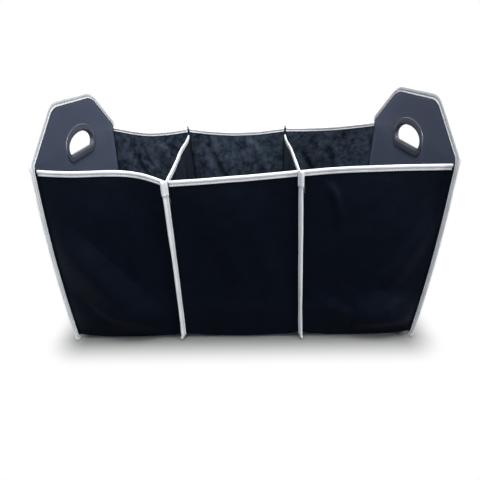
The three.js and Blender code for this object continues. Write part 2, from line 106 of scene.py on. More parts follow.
class Finish:
    """The looks of a material or of the world, made of nodes."""

    def __init__(self, owner):
        self.owner = owner
        owner.use_nodes = True
        owner.node_tree.nodes.clear()

    def node(self, kind, settings=None, inputs=None, output=0):
        sockets = {key: getattr(value, "socket", value) for key, value in (inputs or {}).items()}
        return Value(self, add_node(self.owner.node_tree, kind, settings, sockets).outputs[output])

    def plane(self, source):
        """The first two coordinates of an output of the texture coordinate node."""
        place = self.node("ShaderNodeTexCoord", None, None, source)
        split = self.node("ShaderNodeSeparateXYZ", None, {0: place})
        return split, Value(self, split.socket.node.outputs[1])

    def noise(self, scale, detail, **more):
        """Noise around 0.5 in the object's own space."""
        place = self.node("ShaderNodeTexCoord", None, None, "Object")
        inputs = {"Vector": place, "Scale": scale, "Detail": detail, **more}
        return self.node("ShaderNodeTexNoise", None, inputs)

    def tint(self, share, low, high):
        """A share of the way from one colour to another."""
        return self.node("ShaderNodeMix", {"data_type": "RGBA"}, {0: share, 6: (*low, 1), 7: (*high, 1)}, 2)

    def bump(self, strength, distance, height):
        inputs = {"Strength": strength, "Distance": distance, "Height": height}
        return self.node("ShaderNodeBump", None, inputs)

    def surface(self, shader, kind="ShaderNodeOutputMaterial"):
        add_node(self.owner.node_tree, kind, None, {"Surface": shader.socket})
        return self.owner

    def principled(self, colour, roughness, more):
        inputs = {"Base Color": colour, "Roughness": roughness, **more}
        return self.surface(self.node("ShaderNodeBsdfPrincipled", None, inputs))


def pale_floor():
    """Painted dark grey to the camera near the organizer, a painted shade round its shadow, and white beyond
    it; dark in the light that it throws back at the cloth.
    """
    floor = Finish(bpy.data.materials.new("pale_floor"))
    glow = floor.node("ShaderNodeEmission", None, {"Color": WHITE, "Strength": 1.0})
    seen = floor.node("ShaderNodeLightPath", None, None, "Is Camera Ray")
    # Near the organizer the camera sees the floor as dark grey: a painted shade that deepens the real shadow.
    grey = seen * (FLOOR_SHADE_GREY - FLOOR_BOUNCE) + FLOOR_BOUNCE
    shade = floor.node("ShaderNodeCombineColor", None, {channel: grey for channel in range(3)})
    lit = floor.node("ShaderNodeBsdfDiffuse", None, {"Color": shade})
    x, y = ((at.apply("ABSOLUTE") - half).apply("MAXIMUM", 0.0)
            for at, half in zip(floor.plane("Object"), SHADOW_HALF))
    away = (x * x + y * y).apply("SQRT")
    far = floor.node("ShaderNodeMapRange", {"interpolation_type": "SMOOTHSTEP"},
                     {"Value": away, "From Max": SHADOW_REACH})
    return floor.surface(floor.node("ShaderNodeMixShader", None, {0: seen * far, 1: lit, 2: glow}))


def white_room():
    """A world that the camera sees as white, and that lights the object only a little."""
    room = Finish(bpy.data.worlds.new("white_room"))
    seen = room.node("ShaderNodeLightPath", None, None, "Is Camera Ray")
    ambient = room.node("ShaderNodeBackground", None, {"Color": AMBIENT_COLOUR, "Strength": AMBIENT})
    white = room.node("ShaderNodeBackground", None, {"Color": WHITE})
    both = room.node("ShaderNodeMixShader", None, {0: seen, 1: ambient, 2: white})
    return room.surface(both, "ShaderNodeOutputWorld")


def softbox(name, at, aim, size, watts, colour=(1, 1, 1)):
    lamp = bpy.data.lights.new(name, "AREA")
    lamp.shape, lamp.size, lamp.size_y = "RECTANGLE", size[0], size[1]
    lamp.energy, lamp.color = watts, colour
    lamp_object = bpy.data.objects.new(name, lamp)
    lamp_object.location = at
    direction = Vector(aim) - lamp_object.location
    lamp_object.rotation_euler = direction.to_track_quat("-Z", "Y").to_euler()
    bpy.context.scene.collection.objects.link(lamp_object)


floor_mesh = bpy.data.meshes.new("floor")
corners = [(x * FLOOR_HALF, y * FLOOR_HALF, 0) for x, y in ((-1, -1), (1, -1), (1, 1), (-1, 1))]
floor_mesh.from_pydata(corners, [], [(0, 1, 2, 3)])
floor_object = bpy.data.objects.new("floor", floor_mesh)
floor_mesh.materials.append(pale_floor())
bpy.context.scene.collection.objects.link(floor_object)
bpy.context.scene.world = white_room()

softbox("overhead", (0.13, -0.35, 2.4), (0, 0, 0), (1.6, 1.0), 112)
softbox("left", (-1.05, -1.25, 0.95), (-0.2, 0, 0.2), (0.6, 0.6), 8, (0.8, 0.9, 1))
softbox("right", (2.4, -1.4, 1.3), (0, 0, 0.15), (0.9, 0.9), 42, (0.9, 0.95, 1))
softbox("window", (0.2, -3.2, 1.15), (0, 0, 0.1), (3.0, 0.8), 16)
softbox("back", (-0.3, 3.2, 1.15), (0, 0, 0.1), (3.0, 0.8), 15)

turn, down, roll = (math.radians(a) for a in (CAMERA_TURN, CAMERA_DOWN, CAMERA_ROLL))
ahead = np.array([math.sin(turn) * math.cos(down), math.cos(turn) * math.cos(down), -math.sin(down)])
level = np.array([math.cos(turn), -math.sin(turn), 0])
upright = np.cross(level, ahead)
right = math.cos(roll) * level + math.sin(roll) * upright
up = -math.sin(roll) * level + math.cos(roll) * upright
camera = bpy.data.objects.new("camera", bpy.data.cameras.new("camera"))
camera.data.lens, camera.data.sensor_width = LENS, SENSOR
camera.data.clip_start = 0.02
turned = [[*column, at / 1000] for *column, at in zip(right, up, -ahead, CAMERA_AT)]
camera.matrix_world = Matrix([*turned, [0, 0, 0, 1]])
bpy.context.scene.collection.objects.link(camera)
bpy.context.scene.camera = camera
bpy.context.scene.view_settings.view_transform = "Standard"

# Strips: each compartment's front wall, floor and back wall are one length of soft non-woven cloth.
# Its side edges turn outwards at the four hoops, where they are bound in with the panels. The cloth
# is held straight only there and at its taped rims; between them it bellies, sags and creases.
WIDTH, DEPTH, RIM_HEIGHT = 500, 325, 259
CLOTH, DIVIDER_CLOTH, BOARD, TAPE, EASE = 0.42, 0.8, 1.5, 0.38, 0.1
TAPE_LEG, BITE, BAND = 7.4, 2.1, 1.0
END_TAPE_LEG = 7.2  # the end panels' tape reaches less far in where it goes round more layers
FOOT_ROUND = 2.6  # bend of the cloth between wall and floor
FOOT_POINT = 0.34  # how much further a ridge reaches at that bend, as a share
ROOT_ROUND = 3.6  # bend of the cloth where it runs into a ridge
RIDGE = TAPE_LEG + BITE
WALL = DEPTH / 2 - RIDGE
FOOT_Z = RIDGE + FOOT_ROUND
CLOTH_INSET = TAPE + EASE
CLOTH_TOP = RIM_HEIGHT - CLOTH_INSET
BAND_Z = RIM_HEIGHT - TAPE_LEG - BAND
INNER_CLOTH_FACE = BOARD / 2 + EASE + CLOTH
END_LEG_IN = INNER_CLOTH_FACE + 2 * EASE + CLOTH
END_LEG_OUT = INNER_CLOTH_FACE + 2 * EASE + TAPE + CLOTH + EASE
SEAM_LEG = DIVIDER_CLOTH / 2 + 2 * EASE + CLOTH
END_X = 245.85  # middle of an end panel's card
HOOP_X = [-END_X, -WIDTH / 6 - 2.5, WIDTH / 6, END_X]
FLANGE_AT = [INNER_CLOTH_FACE + EASE + CLOTH / 2] + [DIVIDER_CLOTH / 2 + EASE + CLOTH / 2] * 2
FLANGE_AT.append(FLANGE_AT[0])
RIM_TAPE_STOP = [END_LEG_IN + TAPE + EASE] + [SEAM_LEG + 2 * TAPE + EASE] * 2
RIM_TAPE_STOP.append(RIM_TAPE_STOP[0])
COMPARTMENTS = ["left", "centre", "right"]
WALLS = ((-1, "front"), (1, "back"))
DIVIDER_HOOPS = ((1, "left"), (2, "right"))
RIDGE_ZONE = 9  # this near a hoop a strip follows the ridge
ON_RIDGE = 0.2  # and this far beyond its neat outer face
CORNER_ROWS = 9

# How far the rim at each hoop has moved in x, y and z, on the front and on the back
STANCE = np.array([
    [[-3, 0, 0], [-3, 0, 0]],
    [[-3.7, -5, -14.5], [-16, -5, -4]],
    [[-11.8, -3, -5], [0.6, -5.5, -6]],
    [[11, 0, -1.2], [11, 0, 0]],
])
HOOP_GRIP = 5.2  # this near a hoop all layers move with it
END_BOW = [-4.2, 0, 0, 3.6]  # the end panels bow outwards halfway up, in x
RIM_BOW = {-1: [8.6, -0.8, 2.2], 1: [-8.5, -7.5, -3.5]}  # the rim between the hoops, up
RIM_SKEW = {-1: [2.05, 1, 0.8], 1: [1, 1, 1]}  # above 1, its highest place is nearer the right hoop
WALL_BELLY = {-1: [7, 6, 7], 1: [-6, -5, 4]}  # the wall between the hoops, outwards
LOW_BELLY = {-1: [4.5, 3, 4.5], 1: [3, 3, 3]}  # and low down, where the cloth is slack
LOW_BELLY_AT, LOW_BELLY_SPREAD = 46, 24
FOOT_SAG = 8.0  # between the hoops the foot of a wall sags towards the ground
SAG_IN, SAG_UP = 34, 26  # the sag reaches this far under the floor and up the wall
LEAN = {(1, -1): -34, (2, -1): 20, (1, 1): -18, (2, 1): 16}  # degrees to the right, by hoop and side
LEAN_ROOT = 3.2  # a ridge leans in full this far from the wall
LEAN_SHARE, LEAN_SWAY, LEAN_MORE = 0.75, 0.12, 0.3  # shares of it: all along, swaying, more near the rim
WALL_UNEVEN, RIM_UNEVEN_OUT, RIM_UNEVEN_UP = 0.55, 0.8, 0.5  # small irregular waves
FADE_TOP, FADE_FOOT = 22, 25  # folds fade over these heights below the rim tape and above the floor
PRESSED = 0.42  # share of their thickness to which an end panel's layers are pressed by its tape
UNPRESSED = 0.6  # above the panel's shoulders this share of the pressing is left out

# Soft folds of each wall, front and back: from and to (share across, height), width, height, and how
# many times that width its upper side spreads. A fold fades towards its ends.
FOLDS = {
    (0, -1): [((-0.04, 176), (0.8, 0), 40, 10, 0.78), ((0.2, 66), (0.62, 38), 10, 2.2, 1.4),
              ((0.66, 240), (0.9, 120), 18, -2.0, 1.0)],
    (1, -1): [((0.5, 248), (0.5, 10), 16, 1.6, 1.0), ((0.16, 200), (0.42, 50), 24, -2.0, 1.0),
              ((0.7, 180), (0.94, 30), 24, 2.0, 0.7)],
    (2, -1): [((0.11, 252), (0.31, 188), 7, 2.8, 0.8), ((1.06, 205), (0.66, 86), 17, 6.0, 0.9),
              ((1.06, 34), (0.46, 24), 15, 10, 3.0), ((0.9, 66), (0.72, 44), 8, 2.0, 1.2),
              ((0.14, 80), (0.5, 24), 14, 2.4, 0.8)],
    (0, 1): [((0.15, 235), (0.6, 120), 14, 4.5, 0.5), ((0.55, 240), (0.85, 150), 13, -4.5, 0.6),
             ((0.35, 248), (0.5, 185), 8, 2.8, 0.6), ((0.75, 238), (0.95, 170), 9, 3.0, 0.6)],
    (1, 1): [((0.18, 244), (0.38, 110), 13, 4.0, 0.5), ((0.5, 248), (0.5, 50), 9, 2.6, 0.6),
             ((0.68, 244), (0.88, 130), 13, -4.0, 0.6)],
    (2, 1): [((0.1, 244), (0.42, 120), 13, 4.0, 0.5), ((0.5, 248), (0.78, 140), 13, -3.4, 0.6),
             ((0.8, 234), (0.92, 110), 10, 3.0, 0.6)],
}
FOLD_WANDER = 6  # a fold's line strays this far from straight
CREST_ROUND, CREST_HIGH = 0.03, 1.17  # a fold is a tent of this height, rounded off at its crest
FOLD_FADE = 0.7


def finely(count):
    return count


def smooth(t):
    t = np.clip(t, 0, 1)
    return t * t * (3 - 2 * t)


def panel_bow(z):
    return np.sin(math.pi * np.clip(z / (RIM_HEIGHT + 4), 0, 1))


def stood(x, y, z):
    """Where points of the neatly standing body have gone: near a hoop all layers move as one."""
    x, y, z = np.broadcast_arrays(*(np.asarray(v, float) for v in (x, y, z)))
    k = np.clip(np.searchsorted(HOOP_X, x, side="left") - 1, 0, 2)
    hoops = np.array(HOOP_X)
    span = hoops[k + 1] - hoops[k] - 2 * HOOP_GRIP
    across = np.clip((x - hoops[k] - HOOP_GRIP) / span, 0, 1)[..., None]
    along = np.clip((y + WALL) / (2 * WALL), 0, 1)[..., None]
    moved = [STANCE[k + i, 0] * (1 - along) + STANCE[k + i, 1] * along for i in (0, 1)]
    move = moved[0] * (1 - across) + moved[1] * across
    sunk = np.clip((z - RIDGE) / (BAND_Z - RIDGE), 0, 1) ** 1.4
    ends = np.array(END_BOW)
    bowed = (ends[k] * (1 - across[..., 0]) + ends[k + 1] * across[..., 0]) * panel_bow(z)
    return np.stack([x + bowed, y, z], -1) + move * np.stack([z / RIM_HEIGHT, sunk, sunk], -1)


def hoop_path(rows, floor_rows=40, corner_rows=CORNER_ROWS):
    """Stations down the front wall, under the floor and up the back wall: y, z, outward y and z, side."""
    rows = np.asarray(rows, float)
    angle = np.linspace(0, math.pi / 2, corner_rows + 1)[1:]
    y = np.concatenate([np.full(len(rows), -WALL), -(WALL - FOOT_ROUND) - FOOT_ROUND * np.cos(angle)])
    z = np.concatenate([rows, FOOT_Z - FOOT_ROUND * np.sin(angle)])
    out_y = np.concatenate([np.full(len(rows), -1.0), -np.cos(angle)])
    out_z = np.concatenate([np.zeros(len(rows)), -np.sin(angle)])
    half = np.stack([y, z, out_y, out_z, np.full(len(y), -1.0)], 1)
    back = half[::-1] * [-1, 1, -1, 1, -1]
    inner = np.linspace(half[-1, 0], back[0, 0], floor_rows + 1)[1:-1]
    ones = np.ones(len(inner))
    floor = np.stack([inner, RIDGE * ones, 0 * ones, -ones, np.sign(inner)], 1)
    return np.concatenate([half, floor, back])


def wall_station(side, z):
    """Stations on the front or the back wall, at heights z."""
    z = np.asarray(z, float)
    return np.stack([side * WALL + 0 * z, z, side + 0 * z, 0 * z, side + 0 * z], -1)


def fold_line(x, z, start, end):
    """Shares along and distances off a fold's line, and the fading towards its ends."""
    run, rise = end[0] - start[0], end[1] - start[1]
    length = math.hypot(run, rise)
    along = ((x - start[0]) * run + (z - start[1]) * rise) / length**2
    off = ((x - start[0]) * rise - (z - start[1]) * run) / length
    return along, off, np.sin(math.pi * np.clip(along, 0, 1)) ** FOLD_FADE


def fold_height(compartment, side, share, z):
    """Outward height of a wall's soft folds."""
    width = HOOP_X[compartment + 1] - HOOP_X[compartment]
    total = 0 * share
    for (u0, z0), (u1, z1), wide, high, upper in FOLDS[compartment, side]:
        along, off, fading = fold_line(share * width, z, (u0 * width, z0), (u1 * width, z1))
        off = off + FOLD_WANDER * np.sin(along * 3.1 + z0)
        spread = wide * np.where((off < 0) == (u1 >= u0), upper, 1.0)
        flank = np.clip(CREST_HIGH - np.sqrt((off / spread) ** 2 + CREST_ROUND), 0, 1)
        total = total + high * flank * fading
    return total


def crumple(x, y, scale, seed):
    """Slow unevenness between about -1 and 1 over two arrays of lengths."""
    total = 0
    for i in range(4):
        cos, sin = np.cos(seed * 1.7 + i * 2.4), np.sin(seed * 1.7 + i * 2.4)
        along, aside = x * cos + y * sin, y * cos - x * sin
        bend = 1.3 * np.sin(aside / (scale * 1.9) + i)
        total = total + np.sin(along / (scale * (0.6 + 0.25 * i)) + bend + seed * i)
    return total / 4


def wall_span(compartment):
    """From where to where a compartment's wall runs between the tapes at its two hoops."""
    left = HOOP_X[compartment] + RIM_TAPE_STOP[compartment]
    return left, HOOP_X[compartment + 1] - RIM_TAPE_STOP[compartment + 1]


def wall_point(compartment, x, out, station, up=0):
    """A point of a compartment's wall: x across, `out` beyond its neat outer face, `up` its station."""
    y0, z0, out_y, out_z, side = (station[..., i] for i in range(5))
    start, end = wall_span(compartment)
    share = np.clip((x - start) / (end - start), 0, 1)
    z = z0 + up
    rise = np.clip((z - FOOT_Z) / (BAND_Z - FOOT_Z), 0, 1)
    hang = np.sin(math.pi * share)
    held = np.sqrt(np.clip(hang, 0, 1)) * np.abs(out_y)
    belly, low, skew, bow = (np.where(side < 0, table[-1][compartment], table[1][compartment])
                             for table in (WALL_BELLY, LOW_BELLY, RIM_SKEW, RIM_BOW))
    folds = [fold_height(compartment, wall, share, z) for wall in (-1, 1)]
    low_share = np.exp(-(((z - LOW_BELLY_AT) / LOW_BELLY_SPREAD) ** 2)) * smooth((z - RIDGE) / 20)
    push = belly * hang * np.sin(math.pi * rise) + low * held * low_share
    free = held * smooth((BAND_Z - z) / FADE_TOP) * smooth((z - RIDGE) / FADE_FOOT)
    push = push + np.where(side < 0, *folds) * free
    seed = compartment + side
    push = push + WALL_UNEVEN * crumple(x, z, 17, seed) * held * smooth((BAND_Z - z) / 12)
    push = push + RIM_UNEVEN_OUT * crumple(x, 0 * z, 13, 5 + seed) * hang * smooth(rise * 4 - 3)
    bow = bow * np.sin(math.pi * share**skew) * rise**2
    bow = bow + RIM_UNEVEN_UP * crumple(x, 0 * z, 16, 9 + seed) * hang * rise**2
    y = y0 + out_y * out + side * np.abs(out_y) * push
    near_wall = smooth(1 - (WALL - np.abs(y0)) / SAG_IN) * smooth((FOOT_Z + SAG_UP - z) / SAG_UP)
    sag = FOOT_SAG * np.clip(hang, 0, 1) ** 0.4 * near_wall * smooth(1 - out / 0.8)
    return stood(x, y, z + out_z * out + bow - sag)


def grid_flat(across, along):
    """A flat layout for a grid of points, from lengths across and along it."""
    return np.stack(np.broadcast_arrays(across[None, :], along[:, None]), -1)


def make_mesh(name, points, faces, flat, material):
    """A closed mesh in metres, turned right side out, with its flat layout, in metres, as UV."""
    points = np.asarray(points).reshape(-1, 3)
    mesh = bpy.data.meshes.new(name)
    mesh.from_pydata((points / 1000).tolist(), [], [list(face) for face in faces])
    corner = np.empty(len(mesh.loops), np.int32)
    mesh.loops.foreach_get("vertex_index", corner)
    uv = mesh.uv_layers.new(name="flat")
    uv.data.foreach_set("uv", (np.asarray(flat, float).reshape(-1, 2)[corner] / 1000).ravel())
    mesh.calc_loop_triangles()
    tri = np.empty(len(mesh.loop_triangles) * 3, np.int32)
    mesh.loop_triangles.foreach_get("vertices", tri)
    a, b, c = (points[tri[i::3]] for i in range(3))
    if np.einsum("ij,ij->i", a, np.cross(b, c)).sum() < 0:
        mesh.flip_normals()
    mesh.shade_smooth()
    mesh.materials.append(material)
    made = bpy.data.objects.new(name, mesh)
    bpy.context.scene.collection.objects.link(made)
    return made


def ring_quads(rings, size, round_path=False):
    """Quads between rings of points. With `round_path` the last ring is joined to the first."""
    at = np.arange(rings * size).reshape(rings, size)
    after = np.roll(at, -1, axis=1)
    quads = np.stack([at, after, np.roll(after, -1, axis=0), np.roll(at, -1, axis=0)], -1)
    return (quads if round_path else quads[:-1]).reshape(-1, 4)


def capped_quads(rings, size):
    """Quads between rings of points, with one face over each end."""
    last = np.arange((rings - 1) * size, rings * size)
    return ring_quads(rings, size).tolist() + [list(range(size - 1, -1, -1)), last.tolist()]


def sheet_mesh(name, outer, inner, flat, material, inside_finish=None):
    """A thin closed sheet between two grids of points, of which the inner face may have other looks; on the
    strips it is the same cloth painted lighter, as painted light.
    """
    rows, cols = outer.shape[:2]
    at = np.arange(rows * cols).reshape(rows, cols)
    quads = np.stack([at[:-1, :-1], at[:-1, 1:], at[1:, 1:], at[1:, :-1]], -1).reshape(-1, 4)
    rim = np.concatenate([at[0, :-1], at[:-1, -1], at[-1, :0:-1], at[:0:-1, 0]])
    after = np.roll(rim, -1)
    shift = rows * cols
    sides = np.stack([after, rim, rim + shift, after + shift], 1)
    faces = np.concatenate([quads, quads[:, ::-1] + shift, sides])
    made = make_mesh(name, [outer, inner], faces.tolist(), [flat, flat], material)
    if inside_finish:
        made.data.materials.append(inside_finish)
        which = (np.arange(len(faces)) // len(quads) == 1).astype(np.int32)
        made.data.polygons.foreach_set("material_index", which)
    return made


def cloth_finish(name, colour, fibre_colour, sheen, mottle_and_sheen=0.35, shine=0.1, roughness=0.55, cloud=58):
    """Spun-bonded polypropylene: fine random fibres, pressed together in small staggered dots."""
    cloth = Finish(bpy.data.materials.new(name))
    dot_pitch = 0.0019
    across, along = (length * (math.pi / dot_pitch) for length in cloth.plane("UV"))
    dots = across.apply("SINE") * along.apply("SINE") + across.apply("COSINE") * along.apply("COSINE")
    pressed = ((dots - 0.55) * 3.0).clamped()
    fibres = cloth.noise(1500, 3, Distortion=1.5)
    clouds = cloth.noise(cloud, 4, Roughness=0.62)
    patch = cloth.noise(14, 2)
    # Lighter clouds: random tone on most cloths; on the strips' inner faces, where they are strong, painted
    # highlights of crumples.
    lighter = (clouds - 0.42) * 2.2 * mottle_and_sheen + (patch - 0.5) * 0.5 + (fibres - 0.5) * 0.5 + 0.25
    rough = roughness - pressed * 0.12 + (clouds - 0.5) * 0.2
    return cloth.principled(cloth.tint(lighter.clamped(), colour, fibre_colour), rough, {
        "Specular IOR Level": shine, "Specular Tint": (0.6, 0.75, 1.0, 1),
        "Normal": cloth.bump(0.32, 0.00022, fibres * 0.35 - pressed * 0.65),
        "Sheen Weight": sheen, "Sheen Roughness": 0.45, "Sheen Tint": (0.62, 0.72, 1.0, 1),
    })


dark_cloth = cloth_finish("dark_cloth", (0.0010, 0.0019, 0.0050), (0.0038, 0.0056, 0.0112),
                          sheen=0.02, mottle_and_sheen=0.25, shine=0.15, roughness=0.42)
# The strips' inner faces: the same cloth as their outer faces, painted several times lighter as painted light
# falling inside, with strong lighter clouds as painted highlights on the crumpled cloth.
strip_inside_painted_light = cloth_finish("strip_inside_painted_light", (0.0045, 0.0075, 0.014), (0.062, 0.082, 0.114),
                            sheen=0.08, mottle_and_sheen=0.95, cloud=90)


def strip_section(compartment):
    """The cloth's middle from hoop to hoop, both edges turned out, as x, out and its normal."""
    left = HOOP_X[compartment] + FLANGE_AT[compartment]
    right = HOOP_X[compartment + 1] - FLANGE_AT[compartment + 1]
    tip, mid = RIDGE - CLOTH_INSET, -CLOTH / 2
    edge = np.linspace(tip, ROOT_ROUND + mid, 5)[:-1]
    bend = np.linspace(0, math.pi / 2, 7)
    flange = np.stack([0 * edge, edge, 0 * edge + 1, 0 * edge], 1)
    curve = np.stack([ROOT_ROUND * (1 - np.cos(bend)), mid + ROOT_ROUND * (1 - np.sin(bend)),
                      np.cos(bend), np.sin(bend)], 1)
    side = np.concatenate([flange, curve])
    wall_x = np.linspace(left + ROOT_ROUND, right - ROOT_ROUND, finely(62) + 1)[1:-1]
    wall = np.stack([wall_x, 0 * wall_x + mid, 0 * wall_x, 0 * wall_x + 1], 1)
    first = side + [left, 0, 0, 0]
    last = side[::-1] * [-1, 1, -1, 1] + [right, 0, 0, 0]
    return np.concatenate([first, wall, last])


def lengths(points):
    """How far along a row of points each one lies."""
    return np.concatenate([[0], np.cumsum(np.linalg.norm(np.diff(points, axis=0), axis=-1))])


def foot_point(station):
    """How far a ridge's pointed foot reaches at the bend between wall and floor, 1 elsewhere."""
    return 1 + FOOT_POINT * (2 * station[..., 2] * station[..., 3]) ** 4


def leaned(hoop, across, out, station):
    """A divider's ridge leans over to one side, and its foot is pointed."""
    y, z = station[..., 0], station[..., 1]
    share = np.clip(y / (2 * WALL) + 0.5, 0, 1)
    angle = np.radians(LEAN[hoop, -1] * (1 - share) + LEAN[hoop, 1] * share)
    share = LEAN_SHARE + LEAN_SWAY * np.sin(z / 31 + hoop) + LEAN_MORE * smooth((z - BAND_Z + 26) / 26)
    angle = angle * share * smooth((out - ON_RIDGE) / LEAN_ROOT)
    out = out * foot_point(station) - 1
    return across * np.cos(angle) + out * np.sin(angle), 1 + out * np.cos(angle) - across * np.sin(angle)


def squeeze(depth):
    """The share of their thickness to which an end panel's layers are pressed under its tape."""
    return PRESSED + (1 - PRESSED) * smooth((depth - END_TAPE_LEG + 1) / 5)


def strip_point(compartment, x, out, station):
    """A strip's point, which follows the ridge that it runs into."""
    for hoop, inward in ((0, 1), (3, -1)):
        inside = (x - HOOP_X[hoop]) * inward
        near = inside < RIDGE_ZONE
        held = np.clip(inside, 0, FLANGE_AT[0]) * (1 - squeeze(RIDGE - out)) * near
        x = x - inward * held
        out = np.where(near & (out > ON_RIDGE), out * (1 + foot_point(station)) / 2, out)
    for hoop, inward in ((compartment, 1), (compartment + 1, -1)):
        near = (x - HOOP_X[hoop]) * inward < RIDGE_ZONE
        if hoop in (1, 2):
            across, lifted = leaned(hoop, x - HOOP_X[hoop], out, station)
            follow = near & (out > ON_RIDGE)
            x, out = np.where(follow, HOOP_X[hoop] + across, x), np.where(follow, lifted, out)
    return wall_point(compartment, x, out, station)


wall_rows = np.linspace(CLOTH_TOP, FOOT_Z, finely(100) + 1)
strips = {}
for compartment, name in enumerate(COMPARTMENTS):
    section = strip_section(compartment)
    stations = hoop_path(wall_rows, finely(60))
    x, out, normal_x, normal_out = (section[None, :, i] for i in range(4))
    faces = [strip_point(compartment, x + normal_x * half, out + normal_out * half, stations[:, None, :])
             for half in (CLOTH / 2, -CLOTH / 2)]
    across, along = lengths(section[:, :2]), lengths(stations[:, :2])
    flat = grid_flat(across, along)
    # The inner faces get the lighter copy of the cloth: painted light.
    strips[name] = sheet_mesh(f"cloth_strip_{name}", *faces, flat, dark_cloth, strip_inside_painted_light)
    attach(strips[name], "root")
    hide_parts(f"strip_{name}")
    across[-1] / 1000

# Rim tapes: white binding folded lengthwise over the raw edge of each wall and sewn through with one
# row of stitches, which pulls it in; between the stitches and the fold it stands a little open.
STITCH_IN = 2.8  # the row runs this far inside the tape's edges
PUFF = 0.6  # how far the tape bulges above the stitches
FOLD_ROUND, FOLD_FULLNESS = 1.9, 2.3  # the fold's depth, and how square it is
STITCH_PULL, STITCH_TRENCH = 0.16, 0.7  # depth and width of the trench that the stitches draw
EDGE_LIFT, EDGE_REACH = 0.18, 1.2  # beyond them the tape's edge lifts again
THREAD_PROUD = 0.06
threads = []  # rows of stitches to sew later: points and outward directions, in millimetres


def root_flare(depth):
    """A tape's free edge follows the cloth as it curves out into a wall."""
    out = np.clip(ROOT_ROUND - (RIDGE - depth) - CLOTH / 2, 0, ROOT_ROUND * 0.97)
    return ROOT_ROUND - np.sqrt(ROOT_ROUND**2 - out**2)


def folded_tape(near, far, leg, puff=PUFF, flares=(0, 0), steps=11):
    """A folded tape's outer and inner outline, as (across, depth) from its fold, over a core near..far."""
    middle, half = (far - near) / 2, (far + near) / 2 + TAPE
    row = leg - STITCH_IN
    turning = FOLD_ROUND * (1 - np.cos(np.linspace(0, math.pi / 2, 7)))[1:]
    depth = np.concatenate([turning, np.linspace(FOLD_ROUND, leg, steps)[1:]])
    bulge = puff * np.sin(math.pi * np.clip((row - depth) / row, 0, 1)) ** 0.8
    pull = EDGE_LIFT * smooth((depth - row - STITCH_TRENCH) / EDGE_REACH)
    pull = -STITCH_PULL * np.exp(-(((depth - row) / STITCH_TRENCH) ** 2)) + pull
    crown = (1 - np.clip(1 - depth / FOLD_ROUND, 0, 1) ** FOLD_FULLNESS) ** (1 / FOLD_FULLNESS)
    wide = (half + bulge + pull) * crown
    one, other = (np.stack([wide + flare * root_flare(depth), depth], 1) for flare in flares)
    outer = np.concatenate([one[::-1] * [-1, 1], [[0.0, 0.0]], other])
    along = np.gradient(outer, axis=0)
    normal = np.stack([along[:, 1], -along[:, 0]], 1)
    normal /= np.linalg.norm(normal, axis=1)[:, None]
    inner = outer - normal * TAPE
    stitch = np.argmin(np.abs(depth - row))
    return outer + [middle, 0], inner + [middle, 0], len(one) + 1 + stitch, len(one) - 1 - stitch


def tape_mesh(name, outer, inner, material, round_path=False):
    """A folded tape through rings of points, (rings, points, 3): its flat layout is across and along."""
    rings, size = outer.shape[:2]
    count = 2 * size
    faces = ring_quads(rings, count, round_path).tolist()
    if not round_path:
        for ring, flip in ((0, 1), (rings - 1, -1)):
            for k in range(size - 1):
                cap = [k, k + 1, count - 2 - k, count - 1 - k]
                faces.append([ring * count + i for i in cap[::-flip]])
    across = lengths(outer[rings // 2])
    flat = grid_flat(np.concatenate([across, across[::-1]]), lengths(outer[:, size // 2]))
    return make_mesh(name, np.concatenate([outer, inner[:, ::-1]], 1), faces, flat, material)


def sew(outer, inner, columns):
    """Remembers rows of stitches along a tape, at columns of its outline."""
    for k in columns:
        direction = outer[:, k] - inner[:, k]
        direction /= np.linalg.norm(direction, axis=1)[:, None]
        threads.append((outer[:, k] + direction * THREAD_PROUD, direction))


def tape_finish(name, colour, grime_and_dent_shade, lines):
    """White non-woven binding: cross ribs, soiled in places, dented along its stitch rows and painted darker
    there as painted shade in the dents, and a little fuzzy.
    """
    tape = Finish(bpy.data.materials.new(name))
    rib_pitch, wale_pitch, hole_pitch = 0.00085, 0.0011, 0.0032
    line_half, line_blur = 0.0012, 0.0007
    u, v = tape.plane("UV")
    ribs = (v * (2 * math.pi / rib_pitch)).apply("SINE")
    wales = (u * (2 * math.pi / wale_pitch)).apply("SINE")
    fuzz = tape.noise(900, 3)
    soil = tape.noise(42, 4, Roughness=0.6)
    nearness = [(u - at / 1000).apply("ABSOLUTE") * -1 + line_half for at in lines]
    one, other = ((near * (1 / line_blur)).clamped() for near in nearness)
    row = one.apply("MAXIMUM", other)
    holes = (v * (2 * math.pi / hole_pitch)).apply("SINE") * 0.35 + 0.65
    # Darker where soiled, and along the stitch rows at the needle holes, as painted shade in the dents.
    soil_and_dent_shade = (soil - 0.45) * 1.1 + row * holes * 0.5 + (fuzz - 0.5) * 0.25 + 0.05
    height = ribs * 0.35 + wales * 0.2 + fuzz * 0.5 - row * 0.5
    return tape.principled(tape.tint(soil_and_dent_shade.clamped(), colour, grime_and_dent_shade), 0.72 + (fuzz - 0.5) * 0.2, {
        "Specular IOR Level": 0.3, "Normal": tape.bump(0.35, 0.0002, height),
        "Sheen Weight": 0.15, "Sheen Roughness": 0.5,
    })


STITCH_LINES = (2.8, 15.2)  # where the two rows run across the flat tape
